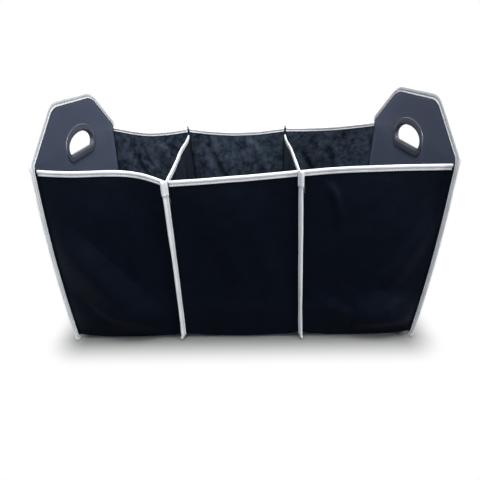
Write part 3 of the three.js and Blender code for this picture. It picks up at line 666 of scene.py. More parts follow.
# The grey is both soil and painted shade along the stitch rows.
white_tape = tape_finish("white_tape", (0.80, 0.81, 0.83), (0.40, 0.40, 0.40), STITCH_LINES)
rim_outer, rim_inner, *rim_rows = folded_tape(CLOTH + EASE, EASE, TAPE_LEG)
for compartment, name in enumerate(COMPARTMENTS):
    for side, word in WALLS:
        x = np.linspace(*wall_span(compartment), finely(60) + 1)
        puffed = 1 + 0.25 * crumple(x, 0 * x, 9, compartment + side)[:, None]
        station = wall_station(side, RIM_HEIGHT)
        rings = [wall_point(compartment, x[:, None], across * puffed, station, -depth)
                 for across, depth in (rim_outer.T[:, None], rim_inner.T[:, None])]
        rim_tape = tape_mesh(f"rim_binding_{word}_{name}", rings[0], rings[1], white_tape)
        sew(rings[0], rings[1], rim_rows)
        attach(rim_tape, "root")
        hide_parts(f"rim_tape_{word}_{name}")

# Dividers: soft double cloth between two compartments. Its side and bottom edges lie in the ridges
# between the turned-out edges of the strips; its free rim hangs in the middle and is bound as well.
DIVIDER_DIP, DIVIDER_WAVE = 3.5, 0.6
DIVIDER_BACK_DROP = 13  # its rim runs into the back seam this far below the wall's
DIVIDER_BACK_START = -20  # and starts to drop at this y
DIVIDER_UNEVEN = 0.7
DIVIDER_ROOT = WALL - CLOTH - EASE

# Soft folds, from and to (y, z), width and height, by hoop
DIVIDER_FOLDS = {1: [((-70, 235), (-20, 90), 13, 3), ((40, 230), (70, 110), 12, -3)],
                 2: [((-60, 225), (-95, 90), 12, -3), ((10, 235), (45, 120), 13, 3)]}


def divider_point(hoop, y, z, across):
    """A point of a divider or its rim tape: `across` from its middle, towards the right."""
    free = np.clip(1 - (y / (WALL - 2 * TAPE_LEG)) ** 2, 0, 1)
    rise = np.clip((z - FOOT_Z) / (BAND_Z - FOOT_Z), 0, 1)
    wave = DIVIDER_WAVE * np.sin(2 * math.pi * np.clip((y + WALL) / (2 * WALL), 0, 1)) * free * rise
    for start, end, wide, high in DIVIDER_FOLDS[hoop]:
        _, off, fading = fold_line(y, z, start, end)
        hill = high * np.exp(-((off / wide) ** 2)) * fading
        wave = wave + hill * free * smooth((BAND_Z - z) / 14)
    loose = np.sqrt(free) * smooth((BAND_Z - z) / 10 + 0.2)
    wave = wave + DIVIDER_UNEVEN * crumple(y, z, 15, hoop + 3) * loose
    at = stood(HOOP_X[hoop] + across, y, z)
    backwards = smooth((y - DIVIDER_BACK_START) / (WALL - DIVIDER_BACK_START))
    drop = DIVIDER_DIP * free * rise**3 + DIVIDER_BACK_DROP * backwards * rise**2
    return at + np.stack(np.broadcast_arrays(wave, 0 * wave, -drop), -1)


def divider_grid():
    """A flat divider's rows of points from edge to edge, y and z."""
    front = hoop_path(wall_rows)[: len(wall_rows) + CORNER_ROWS]
    edge_y, edge_z = (front[:, i, None] + front[:, i + 2, None] * (RIDGE - CLOTH_INSET) for i in (0, 1))
    root_y = np.minimum(front[:, 0, None] + CLOTH + EASE, -1)
    tip = edge_y + (root_y - edge_y) * np.linspace(0, 1, 5)[:-1]
    y = np.concatenate([tip, -root_y * np.linspace(-1, 1, finely(110) + 1), -tip[:, ::-1]], 1)
    return y, np.broadcast_to(edge_z, y.shape)


def ridge_station(y, z):
    """Stations of points in the hoop's plane, and how far beyond the walls and floor they lie."""
    past, below = np.abs(y) - WALL + FOOT_ROUND, FOOT_Z - z
    bend = np.hypot(past, below)
    corner = (past > 0) & (below > 0)
    out = np.where(corner, bend - FOOT_ROUND, np.where(below > 0, RIDGE - z, np.abs(y) - WALL))
    out_y = np.where(corner, past / bend, np.where(below > 0, 0, 1)) * np.sign(y)
    out_z = np.where(corner, -below / bend, np.where(below > 0, -1, 0))
    return np.stack([y, z, out_y, out_z, np.sign(y)], -1), out


HALF_DIVIDER = DIVIDER_CLOTH / 2 + EASE
divider_outer, divider_inner, *divider_rows = folded_tape(HALF_DIVIDER, HALF_DIVIDER, TAPE_LEG)
for hoop, name in DIVIDER_HOOPS:
    y, z = divider_grid()
    station, out = ridge_station(y, z)
    grids = []
    for face in (DIVIDER_CLOTH / 2, -DIVIDER_CLOTH / 2):
        across, lifted = leaned(hoop, np.full(y.shape, face), out, station)
        across = np.where(out > ON_RIDGE, across, face)
        lifted = np.where(out > ON_RIDGE, lifted - out, 0)
        grids.append(divider_point(hoop, y + station[..., 2] * lifted, z + station[..., 3] * lifted, across))
    divider = sheet_mesh(f"divider_cloth_{name}", grids[0], grids[1], np.stack([y, z], -1), dark_cloth)
    y = np.linspace(-DIVIDER_ROOT, DIVIDER_ROOT, finely(110) + 1)
    puffed = 1 + 0.2 * crumple(y, 0 * y, 9, hoop)[:, None]
    rings = [divider_point(hoop, y[:, None], RIM_HEIGHT - depth, across * puffed)
             for across, depth in (divider_outer.T[:, None], divider_inner.T[:, None])]
    divider_tape = tape_mesh(f"divider_binding_{name}", rings[0], rings[1], white_tape)
    sew(rings[0], rings[1], divider_rows)
    for piece, node, slot in ((divider, f"divider_{name}", "cloth"),
                              (divider_tape, f"divider_tape_{name}", "tape")):
        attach(piece, "root")
        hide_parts(node)

# Seam tapes: the same white binding folded over each divider's ridge, all the way down the front,
# under the floor and up the back. Each end is folded back over itself and sewn down as a short tab.
TAB = 19
TAB_RISE = 1.4  # the tab closes this far above the rim
TAB_GROW = 0.6  # and it goes this much further round the ridge
TAB_STEPS = [0, 0, 0.5, 1.3]  # its first rings lie this far below its top
TAB_CLOSING = [0.25, 0.55, 0.82, 0.96]  # and are closed to these shares of its thickness
TAB_STRAIGHT, TAB_ROWS = 2.4, 14  # below this it runs straight down, in so many rings
TAB_RAGGED, RAGGED_OVER = 0.9, 4  # its cut end is ragged


def ridge_point(hoop, across, out, station, up=0):
    """A point on a divider's ridge: `across` from the hoop, `out` beyond the wall, `up` its station."""
    across, out = leaned(hoop, across, out, station)
    y = station[..., 0] + station[..., 2] * out
    z = station[..., 1] + station[..., 3] * out + up
    return stood(HOOP_X[hoop] + across, y, z)


def tab_rings(hoop, side):
    """Outer and inner rings of the folded-back end of a seam tape."""
    top = RIM_HEIGHT + TAB_RISE
    straight = np.linspace(top - TAB_STRAIGHT, RIM_HEIGHT - TAB, TAB_ROWS)
    z = np.concatenate([top - np.array(TAB_STEPS), straight])
    close = np.array(TAB_CLOSING + [1.0] * TAB_ROWS)[:, None]
    station = wall_station(side, z)[:, None]
    near_end = smooth((RIM_HEIGHT - TAB + RAGGED_OVER - z) / RAGGED_OVER)[:, None]
    rings = []
    for across, depth in (outline.T[:, None] for outline in (tab_outer, tab_inner)):
        ragged = TAB_RAGGED * np.sin(depth * 1.3 + hoop + side) * near_end
        out = RIDGE + TAB_GROW - depth + 0.9 * (1 - close) * (depth - TAPE_LEG / 2)
        rings.append(ridge_point(hoop, across * close, out, station, ragged))
    return rings


seam_outer, seam_inner, *seam_rows = folded_tape(SEAM_LEG, SEAM_LEG, TAPE_LEG, 0.4, (1, 1))
TAB_LEG = SEAM_LEG + TAPE + EASE
tab_outer, tab_inner, *_ = folded_tape(TAB_LEG, TAB_LEG, TAPE_LEG + TAB_GROW, 0.5, (1, 1))
for hoop, name in DIVIDER_HOOPS:
    stations = hoop_path(np.linspace(RIM_HEIGHT, FOOT_Z, finely(84) + 1), finely(90), 12)
    wobble = 1 + 0.12 * crumple(np.arange(len(stations)) * 3.0, 0, 12, hoop)[:, None]
    rings = [ridge_point(hoop, across * wobble, RIDGE - depth, stations[:, None])
             for across, depth in (seam_outer.T[:, None], seam_inner.T[:, None])]
    seam = tape_mesh(f"seam_binding_{name}", rings[0], rings[1], white_tape)
    sew(rings[0], rings[1], seam_rows)
    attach(seam, "root")
    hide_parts(f"seam_tape_{name}")
    for side, word in WALLS:
        tab = tape_mesh(f"seam_tab_{word}_{name}", *tab_rings(hoop, side), white_tape)
        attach(tab, "root")

# End panels: stiff card between two cloths, all round bound with tape. The cloths are drawn flat over
# the card, and stand off it a little between the binding and the grip.
SHOULDER_RISE, PEAK_RISE, SHOULDER_ROUND = 3, 71, 12.5
PANEL_FOOT = 7.4
FRONT_CORNER = (math.radians(54), 55)  # which way the sloping edge faces, and the bend at its top
BACK_CORNER = (math.radians(56.3), 76)  # the corner at the back is pressed in a little
PANEL_HEIGHT = RIM_HEIGHT + PEAK_RISE
END_LEAN = {-1: -3 / RIM_HEIGHT, 1: 11 / RIM_HEIGHT}
SHOULDER_AT = np.array([DEPTH / 2 - SHOULDER_ROUND, RIM_HEIGHT + SHOULDER_RISE])
HANDLE_LOW, HANDLE_HALF, HANDLE_CORNER, HANDLE_ARCH, HANDLE_RIM = PANEL_HEIGHT - 79, 46, 9, 18.5, 10.6
HANDLE_SHIFT = 5.5  # the grips sit this far forward of the panel's middle
HANDLE_MIDDLE = HANDLE_LOW + 17
HANDLE_WALL, HANDLE_THICK = 1.5, 1.5
SIDES = (("left", -1), ("right", 1))
RINGS_OUT = 30
STAND_OFF = 0.9  # of the cloths from the card


def top_corner(slope, radius):
    """Middle of a top corner's bend, tangent to the panel's top and to its slope."""
    high = PANEL_HEIGHT - radius
    run = SHOULDER_ROUND - radius - math.sin(slope) * (high - SHOULDER_AT[1])
    return np.array([SHOULDER_AT[0] + run / math.cos(slope), high])


def half_outline(inset, slope, top_round, spacing):
    """Half of an end panel's outline, `inset` inside its edge, with outward directions."""
    parts = []

    def line(a, b, normal):
        count = max(2, int(math.dist(a, b) / spacing))
        t = np.linspace(0, 1, count, endpoint=False)[:, None]
        parts.append(np.hstack([np.array(a) * (1 - t) + np.array(b) * t, np.tile(normal, (count, 1))]))

    def arc(centre, radius, start, stop, count):
        a = np.linspace(start, stop, count, endpoint=False)
        n = np.stack([np.cos(a), np.sin(a)], 1)
        parts.append(np.hstack([np.array(centre) + n * (radius - inset), n]))

    foot = (DEPTH / 2 - PANEL_FOOT, PANEL_FOOT)
    line((0, inset), (foot[0], inset), (0, -1))
    arc(foot, PANEL_FOOT, -math.pi / 2, 0, 10)
    line((DEPTH / 2 - inset, foot[1]), (DEPTH / 2 - inset, SHOULDER_AT[1]), (1, 0))
    arc(SHOULDER_AT, SHOULDER_ROUND, 0, slope, 7)
    n = np.array([math.cos(slope), math.sin(slope)])
    top_at = top_corner(slope, top_round)
    line(SHOULDER_AT + n * (SHOULDER_ROUND - inset), top_at + n * (top_round - inset), n)
    arc(top_at, top_round, slope, math.pi / 2, 14)
    line((top_at[0], PANEL_HEIGHT - inset), (0, PANEL_HEIGHT - inset), (0, 1))
    return np.concatenate(parts)


def end_outline(side, inset, spacing=3.0):
    """A whole outline from the bottom's middle round."""
    first, last = (half_outline(inset, *corner, spacing) for corner in (FRONT_CORNER, BACK_CORNER)[::-side])
    middle_top = np.array([[0, PANEL_HEIGHT - inset, 0, 1]])
    return np.concatenate([first, middle_top, last[:0:-1] * [-1, 1, -1, 1]])


def grip_outline(side, grow, count=160):
    """The hand hole's outline, flat below and arched above, `grow` outside its edge."""
    low = HANDLE_LOW + HANDLE_CORNER
    corner = np.linspace(-math.pi / 2, 0, count // 10)
    lower = np.stack([HANDLE_HALF - HANDLE_CORNER + (HANDLE_CORNER + grow) * np.cos(corner),
                      low + (HANDLE_CORNER + grow) * np.sin(corner)], 1)
    a = np.linspace(0, math.pi, int(count * 0.6))[1:-1]
    n = np.stack([HANDLE_ARCH * np.cos(a), HANDLE_HALF * np.sin(a)], 1)
    n /= np.linalg.norm(n, axis=1)[:, None]
    arch = np.stack([HANDLE_HALF * np.cos(a), low + HANDLE_ARCH * np.sin(a)], 1) + n * grow
    flat = np.linspace(-1, 1, count // 5)[1:-1, None] * [HANDLE_HALF - HANDLE_CORNER, 0]
    flat = flat + [0, low - HANDLE_CORNER - grow]
    return np.concatenate([lower, arch, (lower * [-1, 1])[::-1], flat]) - [side * HANDLE_SHIFT, 0]


def edge_depth(y, z):
    """How far inside an end panel's edge a point lies, near enough."""
    y = np.abs(y)
    cos, sin = math.cos(FRONT_CORNER[0]), math.sin(FRONT_CORNER[0])
    shoulder = SHOULDER_ROUND + cos * (SHOULDER_AT[0] - y) + sin * (SHOULDER_AT[1] - z)
    foot_y, foot_z = y - (DEPTH / 2 - PANEL_FOOT), PANEL_FOOT - z
    straight = np.minimum(np.minimum(DEPTH / 2 - y, z), np.minimum(PANEL_HEIGHT - z, shoulder))
    return np.where((foot_y > 0) & (foot_z > 0), PANEL_FOOT - np.hypot(foot_y, foot_z), straight)


def end_point(side, w, y, z):
    """A point of an end panel: w outwards from the middle of its card."""
    w, y, z = np.broadcast_arrays(*(np.asarray(v, float) for v in (w, y, z)))
    pressed = squeeze(edge_depth(y, z))
    w = w * (pressed + (1 - pressed) * (1 - smooth((SHOULDER_AT[1] + 8 - z) / 16)) * UNPRESSED)
    bowed = END_BOW[0 if side < 0 else 3] * panel_bow(z)
    return np.stack([side * (END_X + w) + END_LEAN[side] * z + bowed, side * y, z], -1)


def around_grip(outline, count=480):
    """An outline resampled at even angles, measured at the grip's middle."""
    centre = np.array([0, HANDLE_MIDDLE])
    rel = outline[:, :2] - centre
    angle = np.unwrap(np.arctan2(rel[:, 1], rel[:, 0]))
    reach = np.linalg.norm(rel, axis=1)
    if angle[-1] < angle[0]:
        angle, reach = angle[::-1], reach[::-1]
    wanted = angle[0] + np.linspace(0, 2 * math.pi, count, endpoint=False)
    reach = np.interp(wanted, np.append(angle, angle[0] + 2 * math.pi), np.append(reach, reach[0]))
    start = int(round((wanted[0] % (2 * math.pi)) / (2 * math.pi) * count))
    turn = np.roll(np.stack([np.cos(wanted), np.sin(wanted)], 1) * reach[:, None], start, axis=0)
    return turn + centre


def end_layer(name, side, inset, far, near, stand_off, material):
    """A layer of an end panel between two distances from the card's middle, with the hand hole in it."""
    t = np.linspace(0, 1, RINGS_OUT)[:, None, None]
    hole = around_grip(grip_outline(side, HANDLE_WALL + EASE))
    grid = around_grip(end_outline(side, inset))[None] * (1 - t) + hole[None] * t
    y, z = grid[..., 0], grid[..., 1]
    proud = stand_off * smooth((t[..., 0] - 0.08) * 6) * smooth((0.97 - t[..., 0]) * 9)
    proud = proud * (0.6 + 0.4 * crumple(y, z, 24, side + far))
    layers = [end_point(side, w + proud, y, z) for w in (far, near)]
    rows, cols = y.shape
    quads = ring_quads(rows, cols)
    shift = rows * cols
    rims = [np.arange(cols), np.arange(cols) + shift - cols]
    rims = [np.stack([np.roll(rim, -1), rim, rim + shift, np.roll(rim, -1) + shift], 1) for rim in rims]
    faces = np.concatenate([quads, quads[:, ::-1] + shift, rims[0], rims[1][:, ::-1]])
    layer = make_mesh(name, layers, faces.tolist(), [grid, grid], material)
    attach(layer, "root")
    return layer


def enclosed(y, z):
    """The area inside a closed outline, in square metres."""
    return abs(np.sum(y * np.roll(z, -1) - z * np.roll(y, -1))) / (2 * 1000**2)


def panel_area(side):
    """An end panel's cloth as it is cut, with its hand hole, in square metres."""
    hole = enclosed(*grip_outline(side, HANDLE_WALL + EASE).T)
    return enclosed(*end_outline(side, CLOTH_INSET)[:, :2].T) - hole


end_cloth = cloth_finish("end_cloth", (0.0055, 0.0065, 0.0125), (0.018, 0.020, 0.034), 0.12, 0.2)
# The end panels' inner faces: the same cloth as their outer faces, painted several times lighter and bluer,
# as painted light and sheen.
end_inside_painted_light = cloth_finish("end_inside_painted_light", (0.030, 0.037, 0.060), (0.070, 0.083, 0.122), 0.16, 0.15)
for name, side in SIDES:
    for word, face, finish in (("outer", 1, end_cloth), ("inner", -1, end_inside_painted_light)):
        far, near = face * INNER_CLOTH_FACE, face * (BOARD / 2 + EASE)
        label = f"end_panel_cloth_{word}_{name}"
        panel = end_layer(label, side, CLOTH_INSET, far, near, face * STAND_OFF, finish)
        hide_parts(f"end_cloth_{word}_{name}")
        panel_area(side)

# End tapes: one closed loop of the white binding round each end panel. Up to the rim it also holds
# the strip's edge, and up to the pocket's mouth the pocket's, so it is thinner above them.
POCKET_HEIGHT = 220
JOG = 5  # the tape gets thinner over this length
PANEL_LEG = INNER_CLOTH_FACE + EASE
TAPE_SHRINK = 1.6  # where the strip's edge isn't under it, the tape reaches this much further in


def end_tape_rings(side):
    """Outer and inner rings of an end panel's tape, and the columns of its stitch rows."""
    base = end_outline(side, 0, 2.8)
    z_here = base[:, 1]
    below_rim, below_mouth = (smooth((top + EASE + JOG - z_here) / JOG) for top in (CLOTH_TOP, POCKET_HEIGHT))
    inner_leg = PANEL_LEG + (END_LEG_IN - PANEL_LEG) * below_rim
    outer_leg = PANEL_LEG + (END_LEG_OUT - PANEL_LEG) * below_mouth
    travelled = lengths(base[:, :2])
    outers, inners = [], []
    for k, (y, z, ny, nz) in enumerate(base):
        leg = END_TAPE_LEG + TAPE_SHRINK * (1 - below_rim[k])
        outer, inner, *rows = folded_tape(inner_leg[k], outer_leg[k], leg, 0.45, (below_rim[k], 0))
        puffed = 1 + 0.06 * crumple(np.array(travelled[k]), 0, 11, side)
        for (across, depth), kept in ((outer.T, outers), (inner.T, inners)):
            kept.append(end_point(side, across * puffed, y - ny * depth, z - nz * depth))
    return np.array(outers), np.array(inners), rows


for name, side in SIDES:
    outer, inner, rows = end_tape_rings(side)
    end_tape = tape_mesh(f"end_binding_{name}", outer, inner, white_tape, round_path=True)
    sew(np.concatenate([outer, outer[:1]]), np.concatenate([inner, inner[:1]]), rows)
    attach(end_tape, "root")
    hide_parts(f"end_tape_{name}")

# End pockets: a patch of cloth over the lower part of each end panel, caught in the binding on three
# sides. Its mouth is bound with the same tape and stands a little open in the middle.
POCKET_DIP = 4
POCKET_BELLY = {-1: 11, 1: 7}
POCKET_UNEVEN = 0.8
POCKET_BACK = INNER_CLOTH_FACE + 2 * EASE + TAPE
POCKET_REACH = DEPTH / 2 - TAPE_LEG - EASE


def pocket_point(side, w, y, z):
    """A point of a pocket or its mouth's tape: w outwards from the middle of the panel's card."""
    across = np.clip(1 - (y / POCKET_REACH) ** 2, 0, 1)
    rise = np.clip((z - PANEL_FOOT) / (POCKET_HEIGHT - TAPE_LEG - BAND - PANEL_FOOT), 0, 1)
    out = POCKET_BELLY[side] * across**1.5 * rise**2
    wavy = POCKET_UNEVEN * (1 + crumple(y, z, 21, side + 4)) * np.sqrt(across) * np.clip(rise * 2, 0, 1)
    slack = smooth((POCKET_HEIGHT - TAPE_LEG - z) / 14)
    return end_point(side, w + out + wavy * slack, y, z - POCKET_DIP * across * rise**2)


def pocket_grid():
    """A flat pocket's rows of points from edge to edge, y and z."""
    angle = np.linspace(-math.pi / 2, 0, 9)
    reach = PANEL_FOOT - CLOTH_INSET
    straight = np.linspace(PANEL_FOOT, POCKET_HEIGHT - CLOTH_INSET, finely(80))[1:]
    rows_z = np.concatenate([PANEL_FOOT + reach * np.sin(angle), straight])
    half = np.full(len(rows_z), DEPTH / 2 - CLOTH_INSET)
    half[: len(angle)] = DEPTH / 2 - PANEL_FOOT + reach * np.cos(angle)
    y = half[:, None] * np.linspace(-1, 1, finely(110) + 1)[None]
    return y, np.broadcast_to(rows_z[:, None], y.shape)


mouth_outer, mouth_inner, *mouth_rows = folded_tape(EASE, CLOTH + EASE, TAPE_LEG)
for name, side in SIDES:
    y, z = pocket_grid()
    grids = [pocket_point(side, POCKET_BACK + w, y, z) for w in (CLOTH, 0)]
    pocket = sheet_mesh(f"pocket_cloth_{name}", grids[0], grids[1], np.stack([y, z], -1), end_cloth)
    y = np.linspace(-POCKET_REACH, POCKET_REACH, finely(110) + 1)
    rings = [pocket_point(side, POCKET_BACK + across, y[:, None], POCKET_HEIGHT - depth)
             for across, depth in (mouth_outer.T[:, None], mouth_inner.T[:, None])]
    mouth = tape_mesh(f"pocket_binding_{name}", rings[0], rings[1], white_tape)
    sew(rings[0], rings[1], mouth_rows)
    for piece, node, slot in ((pocket, f"pocket_{name}", "cloth"), (mouth, f"pocket_tape_{name}", "tape")):
        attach(piece, "root")
        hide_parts(node)

# Grips: two moulded black plastic rings, clipped together through the end panel. The outer one has
# the sleeve that lines the hand hole, the inner one sits round it. Their edges are rounded.
GRIP_SEAT = INNER_CLOTH_FACE + EASE
GRIP_FACE = GRIP_SEAT + HANDLE_THICK
SLEEVE_END = 0.9 - GRIP_FACE  # the sleeve ends a little inside the inner ring's face
GRIP_ROUND, GRIP_SEAT_ROUND = 1.2, 0.3


def plastic_finish(name, colour):
    """Spark-textured black polypropylene, a little polished on its rounded edges."""
    plastic = Finish(bpy.data.materials.new(name))
    grain = plastic.noise(2300, 2)
    scuffs = plastic.noise(60, 5, Distortion=2.0)
    worn = plastic.node("ShaderNodeNewGeometry", None, None, "Pointiness")
    rough = 0.42 + (scuffs - 0.5) * 0.25 - ((worn - 0.5) * 5.0).clamped() * 0.15
    tint = plastic.tint(scuffs * 0.4, colour, [channel * 2.2 for channel in colour])
    return plastic.principled(tint, rough, {
        "Specular IOR Level": 0.75, "Normal": plastic.bump(0.22, 0.00012, grain)})


def rounded(corners, steps=5):
    """A closed outline of (grow, w, radius) corners with each corner rounded."""
    corners = np.array(corners, float)
    points = []
    for k, (*at, radius) in enumerate(corners):
        before, after = corners[k - 1, :2] - at, corners[(k + 1) % len(corners), :2] - at
        a, b = (v / np.linalg.norm(v) for v in (before, after))
        for t in np.linspace(0, 1, steps if radius else 1):
            points.append(np.array(at) + radius * (a * (1 - t) ** 2 + b * t**2))
    return np.array(points)


black_plastic = plastic_finish("black_plastic", (0.055, 0.061, 0.080))
OUTER_GRIP = rounded([
    (0, GRIP_FACE, GRIP_ROUND), (HANDLE_RIM, GRIP_FACE, GRIP_ROUND), (HANDLE_RIM, GRIP_SEAT, GRIP_SEAT_ROUND),
    (HANDLE_WALL, GRIP_SEAT, 0), (HANDLE_WALL, SLEEVE_END, 0.4), (0, SLEEVE_END, 0.4)])
INNER_GRIP = rounded([
    (HANDLE_WALL + EASE, -GRIP_SEAT, 0.2), (HANDLE_RIM, -GRIP_SEAT, GRIP_SEAT_ROUND),
    (HANDLE_RIM, -GRIP_FACE, GRIP_ROUND), (HANDLE_WALL + EASE, -GRIP_FACE, 0.9)])
for name, side in SIDES:
    for word, profile in (("outer", OUTER_GRIP), ("inner", INNER_GRIP)):
        loops = np.stack([end_point(side, w, *grip_outline(side, grow).T) for grow, w in profile], 1)
        faces = ring_quads(*loops.shape[:2], round_path=True).tolist()
        grip = make_mesh(f"grip_{word}_{name}", loops, faces, np.zeros(loops.shape)[..., :2], black_plastic)
        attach(grip, "root")
        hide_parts(f"handle_{word}_{name}")

# Card: the end panels' stiffeners are grey-brown pressed card, which only shows at the cut edges of a
# worn panel. The floor boards are the same card in a glued sleeve of the dark cloth.
BOARD_EDGE, BOARD_CORNER = 1.4, 6
BOARD_SPACING = 5  # between points along a board's rim
BOARD_UNEVEN = 0.25  # its top sinks in places by up to twice this much


def card_finish():
    """Grey-brown card with flecks of fibre."""
    card = Finish(bpy.data.materials.new("pressed_card"))
    flecks = card.noise(420, 5)
    tint = card.tint(flecks, (0.16, 0.11, 0.065), (0.36, 0.27, 0.17))
    return card.principled(tint, 0.9, {"Normal": card.bump(0.3, 0.0002, flecks)})


def board_rim(half):
    """A floor board's rounded rectangle, seen from above, round its middle."""
    angles = np.linspace(0, 2 * math.pi, 97)[:-1]
    turned = np.stack([np.cos(angles), np.sin(angles)], 1)
    rim = np.sign(turned) * (half - BOARD_CORNER) + BOARD_CORNER * turned
    dense = []
    for a, b in zip(rim, np.roll(rim, -1, axis=0)):
        count = max(1, int(math.dist(a, b) / BOARD_SPACING))
        dense.append(a + (b - a) * np.linspace(0, 1, count, endpoint=False)[:, None])
    return np.concatenate(dense)


def board_loops(rim, half_thick):
    """A floor board's rings: out over its underside, round its edge and in over its top."""
    def ring(outline, z):
        return np.hstack([outline, np.full((len(rim), 1), z)])

    inward = rim / np.linalg.norm(rim, axis=1)[:, None] * BOARD_EDGE
    shares = np.linspace(0.03, 0.98, 24)
    loops = [ring(rim * share, -half_thick) for share in shares]
    for a in np.linspace(-math.pi / 2, math.pi / 2, 7):
        z = (half_thick - BOARD_EDGE) * np.sign(math.sin(a)) + BOARD_EDGE * math.sin(a)
        loops.append(ring(rim - inward * (1 - math.cos(a)), z))
    return np.array(loops + [ring(rim * share, half_thick) for share in shares[::-1]])


pressed_card = card_finish()
for name, side in SIDES:
    card = end_layer(f"end_card_{name}", side, CLOTH_INSET + EASE, BOARD / 2, -BOARD / 2, 0, pressed_card)
    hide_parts(f"end_board_{name}")

board_cloth = cloth_finish("board_cloth", (0.0048, 0.006, 0.010), (0.017, 0.020, 0.028), 0.12)
for compartment, name in enumerate(COMPARTMENTS):
    low, high = (np.array(corner) * 1000 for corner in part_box(f"floor_board_{name}"))
    middle, half = (low + high) / 2, (high - low) / 2
    loops = board_loops(board_rim(half[:2]), half[2]) + middle
    x, y, z = (loops[..., i] for i in range(3))
    on_top = z > middle[2] + half[2] - 0.01
    loops[..., 2] += BOARD_UNEVEN * (crumple(x, y, 19, compartment) - 1) * on_top
    faces = capped_quads(*loops.shape[:2])
    floor_board = make_mesh(f"covered_board_{name}", loops, faces, loops[..., :2], board_cloth)
    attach(floor_board, "root")
    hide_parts(f"floor_board_{name}")

# Stitches: one lockstitch row of thick grey thread along both faces of every binding. Each row
# was noted where its tape was made; here short rounded stitches are laid along it.
STITCH_SIZES = {"Pitch": 3.6, "Length": 2.4, "Width": 0.62, "Height": 0.36}
THREAD_RADIUS, THREAD_RINGS, THREAD_SIDES = 0.3, 16, 6
LOOSE_END_OUT = 4.5  # a loose end starts this far out on the ridge

# Offsets in x, y and z from the foot of each front tab, at its right edge
LOOSE_ENDS = {1: [(-1, 0.4, 3), (2.5, -1.5, 0), (4.2, -2, -3.5), (4.6, -1.2, -7.5)],
              2: [(-1, 0.4, 2.5), (2, -1.8, 1), (3.4, -2.2, -2.5), (2.6, -1.6, -6.5), (3.8, -1, -8)]}


def thread_finish():
    """Grey twisted thread."""
    thread = Finish(bpy.data.materials.new("grey_thread"))
    twist = thread.noise(1800, 2)
    return thread.principled(thread.tint(twist, (0.13, 0.12, 0.115), (0.30, 0.29, 0.28)), 0.6, {})


def stitch_tree(material):
    """Geometry nodes: a path becomes evenly spaced stitches that stand on its `facing` directions."""
    tree = bpy.data.node_groups.new("sewn_row", "GeometryNodeTree")
    tree.interface.new_socket("Geometry", in_out="INPUT", socket_type="NodeSocketGeometry")
    for label in STITCH_SIZES:
        tree.interface.new_socket(label, in_out="INPUT", socket_type="NodeSocketFloat")
    tree.interface.new_socket("Geometry", in_out="OUTPUT", socket_type="NodeSocketGeometry")

    def node(kind, settings=None, inputs=None):
        return add_node(tree, kind, settings, inputs).outputs

    given = node("NodeGroupInput")
    curve = node("GeometryNodeMeshToCurve", None, {"Mesh": given["Geometry"]})
    even = node("GeometryNodeResampleCurve", {"mode": "LENGTH"},
                {"Curve": curve[0], "Length": given["Pitch"]})
    tangent = node("GeometryNodeInputTangent")
    facing = node("GeometryNodeInputNamedAttribute", {"data_type": "FLOAT_VECTOR"}, {"Name": "facing"})
    along = node("FunctionNodeAlignRotationToVector", {"axis": "X"}, {"Vector": tangent[0]})
    stand = node("FunctionNodeAlignRotationToVector", {"axis": "Z", "pivot_axis": "X"},
                 {"Rotation": along[0], "Vector": facing[0]})
    ball = node("GeometryNodeMeshUVSphere", None, {"Segments": 6, "Rings": 4, "Radius": 0.5})
    size = node("ShaderNodeCombineXYZ", None, {0: given["Length"], 1: given["Width"], 2: given["Height"]})
    copies = node("GeometryNodeInstanceOnPoints", None, {
        "Points": even[0], "Instance": ball["Mesh"], "Rotation": stand[0], "Scale": size[0]})
    real = node("GeometryNodeRealizeInstances", None, {0: copies[0]})
    soft = node("GeometryNodeSetShadeSmooth", None, {"Geometry": real[0]})
    painted = node("GeometryNodeSetMaterial", None, {"Geometry": soft[0], "Material": material})
    node("NodeGroupOutput", None, {0: painted[0]})
    return tree


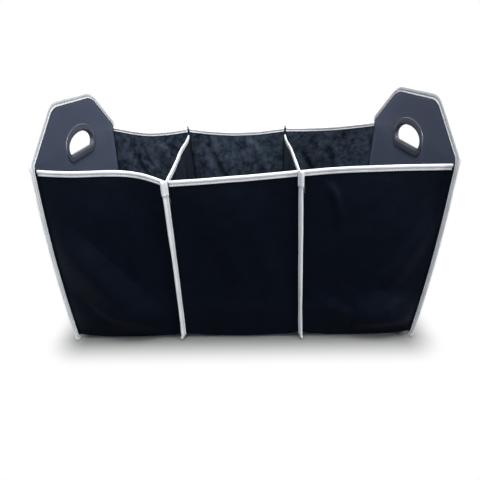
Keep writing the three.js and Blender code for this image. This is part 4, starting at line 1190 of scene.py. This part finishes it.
def strand(points):
    """Rings of a short loose end of thread along a few points."""
    points = np.array(points, float)
    t = np.linspace(0, len(points) - 1, THREAD_RINGS)
    line = np.stack([np.interp(t, range(len(points)), points[:, i]) for i in range(3)], 1)
    line[1:-1] = (line[:-2] + 2 * line[1:-1] + line[2:]) / 4
    along = np.gradient(line, axis=0)
    aside = np.cross(along, [0.3, -0.8, 0.5])
    aside /= np.linalg.norm(aside, axis=1)[:, None]
    other = np.cross(along, aside)
    other /= np.linalg.norm(other, axis=1)[:, None]
    a = np.linspace(0, 2 * math.pi, THREAD_SIDES + 1)[:-1, None, None]
    return (line + THREAD_RADIUS * (np.cos(a) * aside + np.sin(a) * other)).transpose(1, 0, 2)


grey_thread = thread_finish()
for hoop, name in DIVIDER_HOOPS:
    foot = ridge_point(hoop, SEAM_LEG + TAPE, LOOSE_END_OUT, wall_station(-1, RIM_HEIGHT - TAB))
    rings = strand([foot + step for step in LOOSE_ENDS[hoop]])
    faces = capped_quads(*rings.shape[:2])
    loose_end = make_mesh(f"loose_end_{name}", rings, faces, np.zeros(rings.shape)[..., :2], grey_thread)
    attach(loose_end, "root")

path_edges, done = [], 0
for points, _ in threads:
    path_edges += [(i, i + 1) for i in range(done, done + len(points) - 1)]
    done += len(points)
path_mesh = bpy.data.meshes.new("stitch_rows")
path_mesh.from_pydata((np.concatenate([points for points, _ in threads]) / 1000).tolist(), path_edges, [])
facing = path_mesh.attributes.new("facing", "FLOAT_VECTOR", "POINT")
facing.data.foreach_set("vector", np.concatenate([direction for _, direction in threads]).ravel())
rows_object = bpy.data.objects.new("stitch_rows", path_mesh)
bpy.context.scene.collection.objects.link(rows_object)
sewing = rows_object.modifiers.new("sewing", "NODES")
sewing.node_group = stitch_tree(grey_thread)
for item in sewing.node_group.interface.items_tree:
    if item.in_out == "INPUT" and item.name in STITCH_SIZES:
        sewing[item.identifier] = STITCH_SIZES[item.name] / 1000
evaluated = rows_object.evaluated_get(bpy.context.evaluated_depsgraph_get())
stitches = bpy.data.objects.new("stitches", bpy.data.meshes.new_from_object(evaluated))
bpy.context.scene.collection.objects.link(stitches)
bpy.data.objects.remove(rows_object)
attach(stitches, "root")

bpy.context.view_layer.update()
